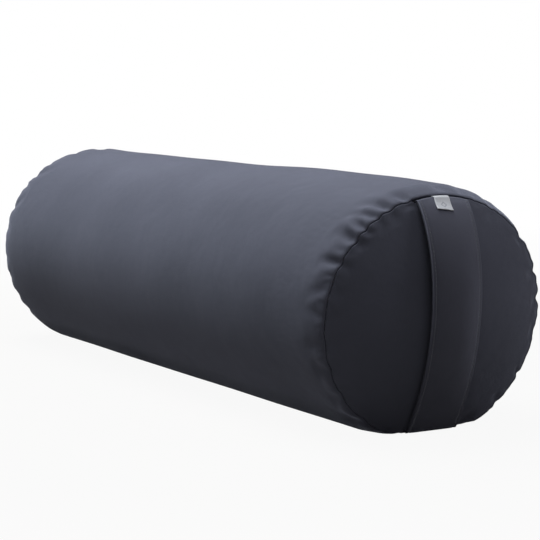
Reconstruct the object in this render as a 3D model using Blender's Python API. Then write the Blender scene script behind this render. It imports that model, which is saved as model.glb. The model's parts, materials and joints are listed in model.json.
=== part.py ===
"""Round yoga bolster with a carrying strap on one end and a zip along its back.

Metres, +Z up. The roll lies along X on the plane z = 0 and the origin is under its middle.
The end with the strap is at +X. The zip is at the back, on the +Y side.
"""

import math
import random

import bmesh
import bpy
from mathutils import Matrix, Vector

# Stuffed roll
SEAM_LENGTH = 0.650
BODY_DIAMETER = 0.216
RIM_DIAMETER = 0.2044
SHOULDER_LENGTH = 0.031
CROWN_HEIGHT = 0.026

# How the filled roll settles under its own weight
SETTLE_DEPTH = 0.0123
SETTLE_SPREAD = 0.0046
BED_SOFTNESS = 0.006
END_LEAN = 0.0065
LEAN_REACH = 0.108

# Cloth layers and the clearance between them
COVER_THICKNESS = 0.0010
LINER_THICKNESS = 0.0008
LAYER_GAP = 0.0003
SEAM_ALLOWANCE = 0.008
ALLOWANCE_SLOPE = math.radians(35)

# Gathers along the rim seams
GATHER_COUNT = 32
GATHER_DEPTH = 0.0021
GATHER_RISE = 0.0006
RIM_GATHER_DEPTH = 0.0006
END_GATHER_DEPTH = 0.0010
GATHER_SEED = 7

# Carrying strap and the hand gap under it
STRAP_WIDTH = 0.050
STRAP_THICKNESS = 0.0022
STRAP_EDGE_CLEARANCE = 0.0006
STRAP_TUCK = 0.006
POCKET_STEP = 0.0025
HAND_GAP = 0.0090

# Label
LABEL_WIDTH = 0.015
LABEL_LENGTH = 0.016
LABEL_THICKNESS = 0.0006

# Zip
ZIP_LENGTH = 0.420
ZIP_ANGLE = math.radians(12)
TOOTH_PITCH = 0.0030
TOOTH_ROOT_WIDTH = 0.0007
TOOTH_THICKNESS = 0.0023
TOOTH_OVERLAP = 0.0031
BEAD_WIDTH = 0.0017
BEAD_GROOVE_DEPTH = 0.0011
TAPE_WIDTH = 0.014
TAPE_THICKNESS = 0.0006
TAPE_TAIL = 0.009
SLOT_END_ROOM = 0.004
TOP_STOP_LENGTH = 0.0030
BOTTOM_STOP_LENGTH = 0.0060
STOP_PROUD = 0.0003
ZIP_PARTING = 0.0019
SLIDER_LENGTH = 0.0108
SLIDER_PLATE = 0.0009
SLIDER_FLANGE = 0.0008
SLIDER_FLARE = 0.0006
SLIDER_CORNER = 0.0010
WEDGE_LENGTH = 0.0042
BRIDGE_HOLE = 0.0026
BRIDGE_WALL = 0.0011
BRIDGE_WIDTH = 0.0016
PULL_LENGTH = 0.026
PULL_WIDTH = 0.0068
PULL_THICKNESS = 0.0012
PULL_BAR = 0.0014

# Inner pillow
LINER_SHOULDER = 0.037
LINER_STATIONS = (1, 0.5, 0.18, 0)
LINER_END_RATIOS = (1, 0.85, 0.5)
LINER_CLEARANCE = 0.0015
ZIP_DENT_SPREAD = 0.048
ZIP_DENT_END = 0.020
ZIP_DENT_FADE = 0.030

# Worked out from the sizes above
BODY_RADIUS = BODY_DIAMETER / 2
RIM_RADIUS = RIM_DIAMETER / 2
HALF_LENGTH = SEAM_LENGTH / 2
CENTRE_HEIGHT = BODY_RADIUS - SETTLE_DEPTH
SPREAD = 1 + SETTLE_SPREAD / BODY_RADIUS
SEGMENTS = 2 * GATHER_COUNT
INWARDS = Vector((-math.cos(ALLOWANCE_SLOPE), -math.sin(ALLOWANCE_SLOPE)))
TO_END_PANEL = Vector((math.sin(ALLOWANCE_SLOPE), -math.cos(ALLOWANCE_SLOPE)))
STRAP_STACK = (STRAP_THICKNESS + 2 * LAYER_GAP) / math.cos(ALLOWANCE_SLOPE)
LABEL_STACK = STRAP_STACK + LABEL_THICKNESS + LAYER_GAP
TAPE_DEPTH = COVER_THICKNESS + LAYER_GAP + TAPE_THICKNESS / 2
GROOVE_HALF_HEIGHT = TAPE_THICKNESS / 2 + LAYER_GAP
TOOTH_REACH = TOOTH_OVERLAP / 2
BEAD_INNER = TOOTH_REACH + LAYER_GAP
BEAD_OUTER = BEAD_INNER + BEAD_WIDTH
GROOVE_INNER = BEAD_OUTER - BEAD_GROOVE_DEPTH
TAPE_INNER = GROOVE_INNER + LAYER_GAP
CHANNEL_HALF_WIDTH = BEAD_OUTER + LAYER_GAP
CHANNEL_HALF_HEIGHT = TOOTH_THICKNESS / 2 + LAYER_GAP
SLIDER_HALF_HEIGHT = CHANNEL_HALF_HEIGHT + SLIDER_PLATE
SLIDER_TAIL_HALF_WIDTH = CHANNEL_HALF_WIDTH + SLIDER_FLANGE
SLIDER_HALF_WIDTH = SLIDER_TAIL_HALF_WIDTH + SLIDER_FLARE
STOP_HALF_WIDTH = CHANNEL_HALF_WIDTH + STOP_PROUD
STOP_HALF_HEIGHT = CHANNEL_HALF_HEIGHT + STOP_PROUD
SLOT_HALF_WIDTH = LAYER_GAP + max(SLIDER_HALF_WIDTH + LAYER_GAP, STOP_HALF_WIDTH + ZIP_PARTING)
ZIP_END = ZIP_LENGTH / 2
SLIDER_REST = ZIP_END - LAYER_GAP - SLIDER_LENGTH / 2
BRIDGE_AXIS_HEIGHT = SLIDER_HALF_HEIGHT + BRIDGE_HOLE / 2
ZIP_DENT_DEPTH = TAPE_DEPTH + SLIDER_HALF_HEIGHT - COVER_THICKNESS + 2 * LAYER_GAP
ALLOWANCE_REACH = -INWARDS * SEAM_ALLOWANCE
PILLOW_DEPTH = COVER_THICKNESS + LAYER_GAP
PILLOW_HALF = HALF_LENGTH - ALLOWANCE_REACH.x - COVER_THICKNESS - LINER_CLEARANCE
PILLOW_RIM = RIM_RADIUS - ALLOWANCE_REACH.y - LABEL_STACK - COVER_THICKNESS - LINER_CLEARANCE
PILLOW_APEX = HALF_LENGTH + CROWN_HEIGHT - PILLOW_DEPTH


# The shape of the settled roll

def soft_floor(height):
    """Flat on the ground where the roll would sink below it, with a soft edge to the flat."""
    if height <= -BED_SOFTNESS:
        return 0.0
    if height < BED_SOFTNESS:
        return (height + BED_SOFTNESS) ** 2 / (4 * BED_SOFTNESS)
    return height


def section_point(radius, depth, angle):
    """(y, z) at a depth below the settled skin of the given free radius. Angle 0 is +Y."""
    y = radius * math.cos(angle) * SPREAD
    z = soft_floor(CENTRE_HEIGHT + radius * math.sin(angle))
    share = 1 - depth / radius
    return y * share, CENTRE_HEIGHT + (z - CENTRE_HEIGHT) * share


def settled(x, radius, depth, angle):
    """A point of the roll. The top of each end leans outwards."""
    y, z = section_point(radius, depth, angle)
    reach = min(1, max(0, (abs(x) - HALF_LENGTH + LEAN_REACH) / LEAN_REACH))
    lean = END_LEAN * reach * (z - CENTRE_HEIGHT) / RIM_RADIUS
    return Vector((x + math.copysign(1, x) * lean, y, z))


def rim_point(side, offset, angle, gathered=0.0):
    """A point near a rim, offset from the seam line along the axis and away from the axis."""
    depth = gathered - offset.y
    return settled(side * (HALF_LENGTH + offset.x), RIM_RADIUS, depth, angle)


def end_point(x_offset, y, z):
    """A point before the near end, from its free place (y, z) in the round of the end."""
    radius = math.hypot(y, z)
    return rim_point(1, Vector((x_offset, radius - RIM_RADIUS)), math.atan2(z, y))


def shoulder_radius(x, half_length, radius, rim_radius, shoulder):
    """Radius of a tube that is straight in the middle and rounds down to its rims."""
    share = max(0, (abs(x) - half_length + shoulder) / shoulder)
    return rim_radius + (radius - rim_radius) * math.sqrt(max(0, 1 - share * share))


def body_radius(x):
    return shoulder_radius(x, HALF_LENGTH, BODY_RADIUS, RIM_RADIUS, SHOULDER_LENGTH)


# Folds round the roll

def rim_half_angle(y):
    """Angle from the top of the rim to the point that lies y to its side."""
    return math.asin(y / (RIM_RADIUS * SPREAD))


POCKET_EDGE = rim_half_angle(STRAP_WIDTH / 2 + STRAP_EDGE_CLEARANCE)
POCKET_END = rim_half_angle(STRAP_WIDTH / 2 + STRAP_EDGE_CLEARANCE + POCKET_STEP)


def fold_angles():
    """Angles of the folds. The first lies on the zip and others on the edges of the strap."""
    angles = [ZIP_ANGLE + i * math.tau / SEGMENTS for i in range(SEGMENTS)]
    for upright in (math.pi / 2, 3 * math.pi / 2):
        for side in (-1, 1):
            edge = upright + side * POCKET_EDGE
            nearest = min(range(SEGMENTS), key=lambda i: abs(angles[i] - edge))
            angles[nearest] = edge
            angles[(nearest + side) % SEGMENTS] = upright + side * POCKET_END
    return angles


ANGLES = fold_angles()
PILLOW_ANGLES = ANGLES[::2]


def under_strap(angle):
    from_upright = abs(angle % math.pi - math.pi / 2)
    return from_upright < (POCKET_EDGE + POCKET_END) / 2


def gather_shares(seed):
    """Share of the gather depth at each fold: valleys of uneven depth between low ridges."""
    chance = random.Random(seed)
    shares = []
    for i, angle in enumerate(ANGLES):
        share = chance.uniform(0.45, 1)
        if i % 2:
            on_ground = section_point(BODY_RADIUS, 0, angle)[1] < GATHER_RISE
            share *= 0 if on_ground else -GATHER_RISE / GATHER_DEPTH
        shares.append(share)
    return shares


GATHERS = {1: gather_shares(GATHER_SEED), -1: gather_shares(GATHER_SEED + 1)}


def seam_gather(side, i):
    """The strap holds the near seam flat under it."""
    return 0 if side > 0 and under_strap(ANGLES[i]) else GATHERS[side][i]


# Meshes and objects

def material(name, color, roughness, metallic=0.0):
    made = bpy.data.materials.new(name)
    made.use_nodes = True
    shader = made.node_tree.nodes["Principled BSDF"]
    shader.inputs["Base Color"].default_value = (*color, 1)
    shader.inputs["Roughness"].default_value = roughness
    shader.inputs["Metallic"].default_value = metallic
    return made


def mesh_of(name, points, faces):
    """A closed mesh from points and faces, with its faces turned outwards."""
    mesh = bpy.data.meshes.new(name)
    mesh.from_pydata(points, [], faces)
    work = bmesh.new()
    work.from_mesh(mesh)
    bmesh.ops.recalc_face_normals(work, faces=work.faces)
    work.to_mesh(mesh)
    work.free()
    return mesh


def ring_mesh(name, rings, endless):
    """A skin of triangles over rings of points. It closes on itself, or on lone points.

    The triangles run the same way in every skin, so that nested skins keep their distance.
    """
    starts = [sum(len(ring) for ring in rings[:i]) for i in range(len(rings))]
    following = list(range(1, len(rings))) + ([0] if endless else [])
    faces = []
    for a, b in zip(range(len(rings)), following):
        if rings[a][0].x > rings[b][0].x:
            a, b = b, a
        for i in range(max(len(rings[a]), len(rings[b]))):
            places = [(a, i), (a, i + 1), (b, i + 1), (b, i)]
            corner = [starts[k] + j % len(rings[k]) for k, j in places]
            triangles = [[corner[0], corner[1], corner[2]], [corner[0], corner[2], corner[3]]]
            faces += [points for points in triangles if len(set(points)) == 3]
    return mesh_of(name, [point for ring in rings for point in ring], faces)


def prism(name, outline, low, high, axis="Z"):
    """An outline extruded along a local axis. It is given in the other two axes, in order."""
    place = {
        "X": lambda a, b, h: (h, a, b),
        "Y": lambda a, b, h: (a, h, b),
        "Z": lambda a, b, h: (a, b, h),
    }[axis]
    count = len(outline)
    points = [place(a, b, height) for height in (low, high) for a, b in outline]
    faces = [list(range(count)), list(range(count, 2 * count))]
    for i in range(count):
        after = (i + 1) % count
        faces.append([i, after, count + after, count + i])
    return mesh_of(name, points, faces)


def rectangle(a_low, a_high, b_low, b_high):
    return [(a_low, b_low), (a_high, b_low), (a_high, b_high), (a_low, b_high)]


def sheet_mesh(name, grid, thickness):
    """A closed sheet of even thickness about a grid of points on its middle surface."""
    rows, columns = len(grid), len(grid[0])
    front = []
    back = []
    for r in range(rows):
        for c in range(columns):
            along = grid[min(r + 1, rows - 1)][c] - grid[max(r - 1, 0)][c]
            across = grid[r][min(c + 1, columns - 1)] - grid[r][max(c - 1, 0)]
            half = along.cross(across).normalized() * thickness / 2
            front.append(grid[r][c] + half)
            back.append(grid[r][c] - half)
    count = rows * columns
    faces = []
    for r in range(rows - 1):
        for c in range(columns - 1):
            corner = r * columns + c
            quad = [corner, corner + columns, corner + columns + 1, corner + 1]
            faces += [quad, [count + i for i in quad]]
    edge = list(range(columns))
    edge += [r * columns + columns - 1 for r in range(1, rows)]
    edge += [(rows - 1) * columns + c for c in range(columns - 2, -1, -1)]
    edge += [r * columns for r in range(rows - 2, 0, -1)]
    for start, end in zip(edge, edge[1:] + edge[:1]):
        faces.append([start, end, count + end, count + start])
    return mesh_of(name, front + back, faces)


def add_object(name, mesh, finish):
    obj = bpy.data.objects.new(name, mesh)
    bpy.context.scene.collection.objects.link(obj)
    mesh.materials.append(finish)
    mesh.shade_smooth()
    mesh.set_sharp_from_angle(angle=math.radians(50))
    return obj


def add_empty(name, frame):
    empty = bpy.data.objects.new(name, None)
    bpy.context.scene.collection.objects.link(empty)
    empty.empty_display_size = 0.01
    empty.matrix_world = frame
    bpy.context.view_layer.update()
    return empty


def apply_boolean(obj, operation, mesh):
    """Cuts a helper shape out of an object, or joins it on. The helper follows the object."""
    other = bpy.data.objects.new(mesh.name, mesh)
    bpy.context.scene.collection.objects.link(other)
    other.parent = obj
    other.hide_render = True
    other.display_type = "WIRE"
    modifier = obj.modifiers.new(mesh.name, "BOOLEAN")
    modifier.operation = operation
    modifier.solver = "EXACT"
    modifier.object = other


def set_origin(obj, place):
    """Puts an object's origin at a place and leaves its shape where it is."""
    obj.data.transform(Matrix.Translation(-place))
    obj.location = place


# Cover

# Rings of the panels, as (place, share of the gather depth). A place on the body is in shoulder
# lengths from the rim, and one on an end panel is in rim radii from its middle.
BODY_STATIONS = ((1, 0), (0.6, 0.4), (0.25, 1))
POCKET_START = 0.82
END_STATIONS = ((0.95, 1), (POCKET_START, 0.15), (0.5, 0))


def body_ring(side, share, gather, inset):
    """A ring of the body panel. share is its distance from the rim in shoulder lengths."""
    x = side * (HALF_LENGTH - share * SHOULDER_LENGTH)
    valley = gather * GATHER_DEPTH
    return [
        settled(x, body_radius(x), inset + valley * GATHERS[side][i], angle)
        for i, angle in enumerate(ANGLES)
    ]


def body_rim_ring(side, offset):
    return [
        rim_point(side, offset, angle, RIM_GATHER_DEPTH * seam_gather(side, i))
        for i, angle in enumerate(ANGLES)
    ]


def corner_inset(run, inner_turn, thickness):
    """From the outer corner of a cloth to its inner corner, where it turns in at the rim."""
    outward = Vector((-run.y, run.x)).normalized()
    if outward.x < 0:
        outward = -outward
    return -(outward + inner_turn) * thickness / (1 + outward.dot(inner_turn))


def body_half(side):
    """Rings of half the body panel: its outer face, the allowance and its inner face."""
    last_share = BODY_STATIONS[-1][0]
    before = HALF_LENGTH - last_share * SHOULDER_LENGTH
    run = Vector((HALF_LENGTH - before, RIM_RADIUS - body_radius(before)))
    outer = [body_ring(side, share, gather, 0) for share, gather in BODY_STATIONS]
    tip = INWARDS * SEAM_ALLOWANCE
    rim = [
        body_rim_ring(side, Vector((0, 0))),
        body_rim_ring(side, tip),
        body_rim_ring(side, tip - TO_END_PANEL * COVER_THICKNESS),
        body_rim_ring(side, corner_inset(run, TO_END_PANEL, COVER_THICKNESS)),
    ]
    inner = [
        body_ring(side, share, gather, COVER_THICKNESS)
        for share, gather in (BODY_STATIONS[-1], BODY_STATIONS[0])
    ]
    return outer + rim + inner


def make_cover_body(finish):
    rings = body_half(1) + body_half(-1)[::-1]
    body = add_object("cover_body", ring_mesh("cover_body", rings, True), finish)
    slot = rectangle(
        -ZIP_END - BOTTOM_STOP_LENGTH - SLOT_END_ROOM,
        ZIP_END + TOP_STOP_LENGTH + SLOT_END_ROOM,
        -SLOT_HALF_WIDTH,
        SLOT_HALF_WIDTH,
    )
    cutter = prism("zip_slot", slot, -3 * COVER_THICKNESS, 3 * COVER_THICKNESS)
    cutter.transform(zip_frame(0, 0))
    apply_boolean(body, "DIFFERENCE", cutter)
    return body


def seam_stack(side, angle):
    """What lies between the two allowances: the strap and, at the top, the label too."""
    if side < 0 or not under_strap(angle):
        return LAYER_GAP
    return LABEL_STACK if math.sin(angle) > 0 else STRAP_STACK


def crown_point(side, ratio, i, gather, inset):
    """A point of an end panel. Near the seam it dips under the strap's end."""
    angle = ANGLES[i]
    slope = 2 * CROWN_HEIGHT * ratio / RIM_RADIUS
    outward = Vector((1, slope)).normalized()
    dip = seam_stack(side, angle) * max(0, (ratio - POCKET_START) / (1 - POCKET_START))
    offset = Vector((CROWN_HEIGHT * (1 - ratio * ratio), RIM_RADIUS * (ratio - 1)))
    offset += TO_END_PANEL * dip
    offset -= outward * (inset + gather * END_GATHER_DEPTH * seam_gather(side, i))
    return rim_point(side, offset, angle)


def end_rim_ring(side, offset):
    return [
        rim_point(
            side,
            offset + TO_END_PANEL * seam_stack(side, angle),
            angle,
            RIM_GATHER_DEPTH * seam_gather(side, i),
        )
        for i, angle in enumerate(ANGLES)
    ]


def make_end_panel(name, side, finish):
    """A crowned round panel whose allowance is turned in behind the body's."""
    apex = Vector((HALF_LENGTH + CROWN_HEIGHT, 0))
    last = END_STATIONS[0][0]
    run = Vector((-CROWN_HEIGHT * (1 - last * last), RIM_RADIUS * (1 - last)))
    tip = INWARDS * SEAM_ALLOWANCE

    def skin(inset):
        rings = [
            [crown_point(side, ratio, i, gather, inset) for i in range(SEGMENTS)]
            for ratio, gather in END_STATIONS
        ]
        return rings + [[settled(side * (apex.x - inset), RIM_RADIUS, RIM_RADIUS, 0)]]

    rim = [
        end_rim_ring(side, Vector((0, 0))),
        end_rim_ring(side, tip),
        end_rim_ring(side, tip + TO_END_PANEL * COVER_THICKNESS),
        end_rim_ring(side, corner_inset(run, -TO_END_PANEL, COVER_THICKNESS)),
    ]
    rings = skin(0)[::-1] + rim + skin(COVER_THICKNESS)
    return add_object(name, ring_mesh(name, rings, False), finish)


# Strap and label

STRAP_COLUMNS = 6
STRAP_ROWS = 13
FOLD_STEPS = 3
STRAP_END_SLOPE = math.atan2(2 * (CROWN_HEIGHT + HAND_GAP), RIM_RADIUS)


def spaced(low, high, count):
    return [low + (high - low) * i / (count - 1) for i in range(count)]


def fold_offsets(stack, radius, tuck):
    """A path from inside the seam, over the end panel's edge, to the front of the panel."""
    centre = TO_END_PANEL * stack
    turns = spaced(math.pi / 2 + ALLOWANCE_SLOPE, STRAP_END_SLOPE, FOLD_STEPS + 1)
    path = [centre + Vector((math.cos(turn), math.sin(turn))) * radius for turn in turns]
    return [path[0] + INWARDS * tuck, *path]


def fold_column(path, y, side):
    """The folded end of one lengthwise line of the strap. side is 1 at the top."""
    angle = math.acos(y / (RIM_RADIUS + path[-1].y))
    return [rim_point(1, offset, side * angle) for offset in path]


def make_handle_strap(finish):
    radius = LAYER_GAP + STRAP_THICKNESS / 2
    top = fold_offsets(LABEL_STACK, radius, STRAP_TUCK)
    bottom = fold_offsets(STRAP_STACK, radius, STRAP_TUCK)
    rise = CROWN_HEIGHT + HAND_GAP + STRAP_THICKNESS / 2 - (top[-1].x + bottom[-1].x) / 2
    columns = []
    for across in spaced(-STRAP_WIDTH / 2, STRAP_WIDTH / 2, STRAP_COLUMNS):
        y = across / SPREAD
        z_top = math.sqrt((RIM_RADIUS + top[-1].y) ** 2 - y * y)
        z_bottom = -math.sqrt((RIM_RADIUS + bottom[-1].y) ** 2 - y * y)
        middle = []
        for share in spaced(0, 1, STRAP_ROWS + 2)[1:-1]:
            bow = rise * (1 - (2 * share - 1) ** 2) * (1 - (y / RIM_RADIUS) ** 2)
            x = top[-1].x + (bottom[-1].x - top[-1].x) * share + bow
            middle.append(end_point(x, y, z_top + (z_bottom - z_top) * share))
        columns.append(fold_column(top, y, 1) + middle + fold_column(bottom, y, -1)[::-1])
    grid = [list(row) for row in zip(*columns)]
    strap = add_object("handle_strap", sheet_mesh("handle_strap", grid, STRAP_THICKNESS), finish)
    set_origin(strap, settled(HALF_LENGTH, RIM_RADIUS, RIM_RADIUS, 0))
    return strap


def label_fold():
    radius = 2 * LAYER_GAP + STRAP_THICKNESS + LABEL_THICKNESS / 2
    return fold_offsets(LABEL_STACK, radius, STRAP_TUCK)


def make_label_tag(finish):
    """A loop label, sewn in over the strap's upper end, that hangs down before the strap."""
    path = label_fold()
    downwards = Vector((math.sin(STRAP_END_SLOPE), -math.cos(STRAP_END_SLOPE)))
    columns = []
    for across in spaced(-LABEL_WIDTH / 2, LABEL_WIDTH / 2, 3):
        y = across / SPREAD
        z_top = math.sqrt((RIM_RADIUS + path[-1].y) ** 2 - y * y)
        hanging = []
        for drop in spaced(0, LABEL_LENGTH, 4)[1:]:
            step = downwards * drop
            hanging.append(end_point(path[-1].x + step.x, y, z_top + step.y))
        columns.append(fold_column(path, y, 1) + hanging)
    grid = [list(row) for row in zip(*columns)]
    label = add_object("label_tag", sheet_mesh("label_tag", grid, LABEL_THICKNESS), finish)
    set_origin(label, rim_point(1, TO_END_PANEL * LABEL_STACK, math.pi / 2))
    return label


# Zip. Its own frame has X along the roll, Y down round the roll and Z outwards.

def zip_frame(x, inset):
    """Frame of the zip at a place along the roll and a depth below the cover's skin."""
    here = Vector((0, *section_point(BODY_RADIUS, 0, ZIP_ANGLE)))
    after = Vector((0, *section_point(BODY_RADIUS, 0, ZIP_ANGLE - 0.001)))
    down = (after - here).normalized()
    outward = Vector((1, 0, 0)).cross(down)
    origin = here - outward * inset + Vector((x, 0, 0))
    frame = Matrix((Vector((1, 0, 0)), down, outward)).transposed().to_4x4()
    frame.translation = origin
    return frame


def zip_turning_frame():
    """Frame on the line about which the skin curves at the zip. The zip's halves part about it."""
    step = 0.05
    points = [
        Vector(section_point(BODY_RADIUS, 0, ZIP_ANGLE + turn)) for turn in (-step, 0, step)
    ]
    first, second, third = ((b - a).length for a, b in zip(points, points[1:] + points[:1]))
    doubled_area = abs((points[1] - points[0]).cross(points[2] - points[0]))
    return zip_frame(0, first * second * third / (2 * doubled_area))


def add_zip_piece(name, mesh, finish, frame, parent):
    """A piece given in the zip's frame, hung from the empty on its joint's axis."""
    piece = add_object(name, mesh, finish)
    local = parent.matrix_world.inverted() @ frame
    mesh.transform(local)
    piece.parent = parent
    return piece


def make_zip_tape(name, half, finish, parent):
    """half is 1 for the lower tape and -1 for the upper one."""
    arc = BODY_RADIUS * math.hypot(SPREAD * math.sin(ZIP_ANGLE), math.cos(ZIP_ANGLE))
    rows = []
    for x in (-ZIP_END - BOTTOM_STOP_LENGTH - TAPE_TAIL, ZIP_END + TOP_STOP_LENGTH + TAPE_TAIL):
        row = []
        for across in spaced(TAPE_INNER, TAPE_INNER + TAPE_WIDTH, 5):
            angle = ZIP_ANGLE - half * across / arc
            row.append(settled(x, BODY_RADIUS, TAPE_DEPTH, angle))
        rows.append(row)
    mesh = sheet_mesh(name, rows, TAPE_THICKNESS)
    return add_zip_piece(name, mesh, finish, Matrix.Identity(4), parent)


def tooth_outline(half):
    """One row of interlocking dovetail teeth on its bead, as (x, y)."""
    length = BEAD_INNER + TOOTH_REACH
    room = TOOTH_PITCH / 2 - LAYER_GAP - TOOTH_ROOT_WIDTH
    root = TOOTH_ROOT_WIDTH / 2
    tip = root + room * length / (2 * BEAD_INNER)
    first = -ZIP_END + LAYER_GAP + TOOTH_PITCH * (0.5 if half > 0 else 1)
    last = SLIDER_REST + SLIDER_LENGTH / 2 - WEDGE_LENGTH - LAYER_GAP - tip
    outline = [(-ZIP_END + LAYER_GAP, BEAD_OUTER), (-ZIP_END + LAYER_GAP, BEAD_INNER)]
    for i in range(int((last - first) / TOOTH_PITCH) + 1):
        x = first + i * TOOTH_PITCH
        outline += [(x - root, BEAD_INNER), (x - tip, -TOOTH_REACH)]
        outline += [(x + tip, -TOOTH_REACH), (x + root, BEAD_INNER)]
    outline += [(ZIP_END - LAYER_GAP, BEAD_INNER), (ZIP_END - LAYER_GAP, BEAD_OUTER)]
    return [(x, half * y) for x, y in outline]


def make_zip_teeth(name, half, finish, parent):
    """The bead under the teeth grips the edge of the tape in a groove."""
    mesh = prism(name, tooth_outline(half), -TOOTH_THICKNESS / 2, TOOTH_THICKNESS / 2)
    teeth = add_zip_piece(name, mesh, finish, zip_frame(0, TAPE_DEPTH), parent)
    sides = sorted((half * GROOVE_INNER, half * (BEAD_OUTER + BEAD_WIDTH)))
    groove = rectangle(*sides, -GROOVE_HALF_HEIGHT, GROOVE_HALF_HEIGHT)
    cutter = prism(name + "_groove", groove, -ZIP_LENGTH, ZIP_LENGTH, "X")
    cutter.transform(parent.matrix_world.inverted() @ zip_frame(0, TAPE_DEPTH))
    apply_boolean(teeth, "DIFFERENCE", cutter)
    return teeth


def make_top_stop(name, half, finish, parent):
    """A stop crimped on the tape's edge, too large for the slider's channel."""
    inner, outer = BEAD_INNER, STOP_HALF_WIDTH
    high, low = STOP_HALF_HEIGHT, GROOVE_HALF_HEIGHT
    outline = [
        (outer, low), (outer, high), (inner, high), (inner, -high),
        (outer, -high), (outer, -low), (GROOVE_INNER, -low), (GROOVE_INNER, low),
    ]
    outline = [(half * y, z) for y, z in outline]
    mesh = prism(name, outline, ZIP_END, ZIP_END + TOP_STOP_LENGTH, "X")
    return add_zip_piece(name, mesh, finish, zip_frame(0, TAPE_DEPTH), parent)


def make_bottom_stop(finish, parent):
    """A block that holds the edges of both tapes together."""
    outer = STOP_HALF_WIDTH
    high, low = STOP_HALF_HEIGHT, GROOVE_HALF_HEIGHT
    right = [(outer, high), (outer, low), (GROOVE_INNER, low)]
    right += [(y, -z) for y, z in right[::-1]]
    outline = right + [(-y, z) for y, z in right[::-1]]
    mesh = prism("zip_bottom_stop", outline, -ZIP_END - BOTTOM_STOP_LENGTH, -ZIP_END, "X")
    return add_zip_piece("zip_bottom_stop", mesh, finish, zip_frame(0, TAPE_DEPTH), parent)


def mirrored(points):
    """An outline from its points on the +Y side, from -X to +X."""
    return points + [(x, -y) for x, y in points[::-1] if y]


def make_zip_slider(finish, parent):
    """Two plates held apart by the wedge at the nose, with flanges and a bridge for the pull."""
    tail, nose = -SLIDER_LENGTH / 2, SLIDER_LENGTH / 2
    waist = nose - WEDGE_LENGTH
    plan = mirrored([
        (tail, SLIDER_TAIL_HALF_WIDTH - SLIDER_CORNER),
        (tail + SLIDER_CORNER, SLIDER_TAIL_HALF_WIDTH),
        (waist, SLIDER_TAIL_HALF_WIDTH),
        (nose - SLIDER_CORNER, SLIDER_HALF_WIDTH),
        (nose, SLIDER_HALF_WIDTH - SLIDER_CORNER),
    ])
    mesh = prism("zip_slider", plan, -SLIDER_HALF_HEIGHT, SLIDER_HALF_HEIGHT)
    slider = add_zip_piece("zip_slider", mesh, finish, parent.matrix_world, parent)
    wedge = BEAD_INNER - LAYER_GAP
    channel = mirrored([
        (tail - SLIDER_CORNER, CHANNEL_HALF_WIDTH),
        (nose + SLIDER_CORNER, CHANNEL_HALF_WIDTH),
        (nose + SLIDER_CORNER, wedge),
        (nose - WEDGE_LENGTH / 3, wedge),
    ])
    channel.insert(4, (waist, 0))
    cutter = prism("slider_channel", channel, -CHANNEL_HALF_HEIGHT, CHANNEL_HALF_HEIGHT)
    apply_boolean(slider, "DIFFERENCE", cutter)
    for half in (-1, 1):
        inner, outer = half * (BEAD_OUTER - LAYER_GAP), half * (SLIDER_HALF_WIDTH + SLIDER_FLARE)
        slot = rectangle(*sorted((inner, outer)), -GROOVE_HALF_HEIGHT, GROOVE_HALF_HEIGHT)
        cutter = prism("slider_tape_slot", slot, -SLIDER_LENGTH, SLIDER_LENGTH, "X")
        apply_boolean(slider, "DIFFERENCE", cutter)
    apply_boolean(slider, "UNION", bridge_mesh())
    return slider


def bridge_mesh():
    """The arch on the slider that the pull's bar lies in."""
    hole = BRIDGE_HOLE / 2
    foot = SLIDER_HALF_HEIGHT - SLIDER_PLATE / 2
    turns = spaced(math.pi, 0, 9)
    outline = []
    for radius, order in ((hole + BRIDGE_WALL, turns), (hole, turns[::-1])):
        arc = [(radius * math.cos(a), BRIDGE_AXIS_HEIGHT + radius * math.sin(a)) for a in order]
        outline += [(arc[0][0], foot), *arc, (arc[-1][0], foot)]
    return prism("slider_bridge", outline, -BRIDGE_WIDTH / 2, BRIDGE_WIDTH / 2, "Y")


def make_zip_pull(finish, parent):
    """A tab whose end bar turns in the bridge. It lies back along the closed teeth."""
    half_width = PULL_WIDTH / 2
    end = half_width - PULL_LENGTH
    outline = [(PULL_BAR / 2, half_width)]
    for turn in spaced(math.pi / 2, 3 * math.pi / 2, 9):
        outline.append((end + half_width * math.cos(turn), half_width * math.sin(turn)))
    outline.append((PULL_BAR / 2, -half_width))
    mesh = prism("zip_pull", outline, -PULL_THICKNESS / 2, PULL_THICKNESS / 2)
    pull = add_zip_piece("zip_pull", mesh, finish, parent.matrix_world, parent)
    hole = BRIDGE_HOLE / 2
    window_end = math.hypot(hole + BRIDGE_WALL, hole) + 2 * LAYER_GAP
    window_half = BRIDGE_WIDTH / 2 + 2 * LAYER_GAP
    window = rectangle(-window_end, -PULL_BAR / 2, -window_half, window_half)
    cutter = prism("pull_window", window, -PULL_THICKNESS, PULL_THICKNESS)
    apply_boolean(pull, "DIFFERENCE", cutter)
    return pull


# Inner pillow

def zip_dent(x, angle):
    """How far the zip presses into the pillow."""
    across = abs(angle - ZIP_ANGLE) % math.tau
    across = min(across, math.tau - across) * BODY_RADIUS
    near = max(0, 1 - across / ZIP_DENT_SPREAD)
    near = near * near * (3 - 2 * near)
    past = (abs(x) - ZIP_END - ZIP_DENT_END) / ZIP_DENT_FADE
    return ZIP_DENT_DEPTH * near * min(1, max(0, 1 - past))


def pillow_stations(end):
    """Places along half the pillow, from its middle part to its rim."""
    places = [ZIP_END + ZIP_DENT_END, ZIP_END + ZIP_DENT_END + ZIP_DENT_FADE]
    places += [end - share * LINER_SHOULDER for share in LINER_STATIONS]
    return sorted(place for place in places if place <= end)


def pillow_ring(x, inset, end):
    radius = shoulder_radius(x, end, BODY_RADIUS - PILLOW_DEPTH, PILLOW_RIM, LINER_SHOULDER)
    return [
        settled(x, BODY_RADIUS, BODY_RADIUS - radius + inset + zip_dent(x, angle), angle)
        for angle in PILLOW_ANGLES
    ]


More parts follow.
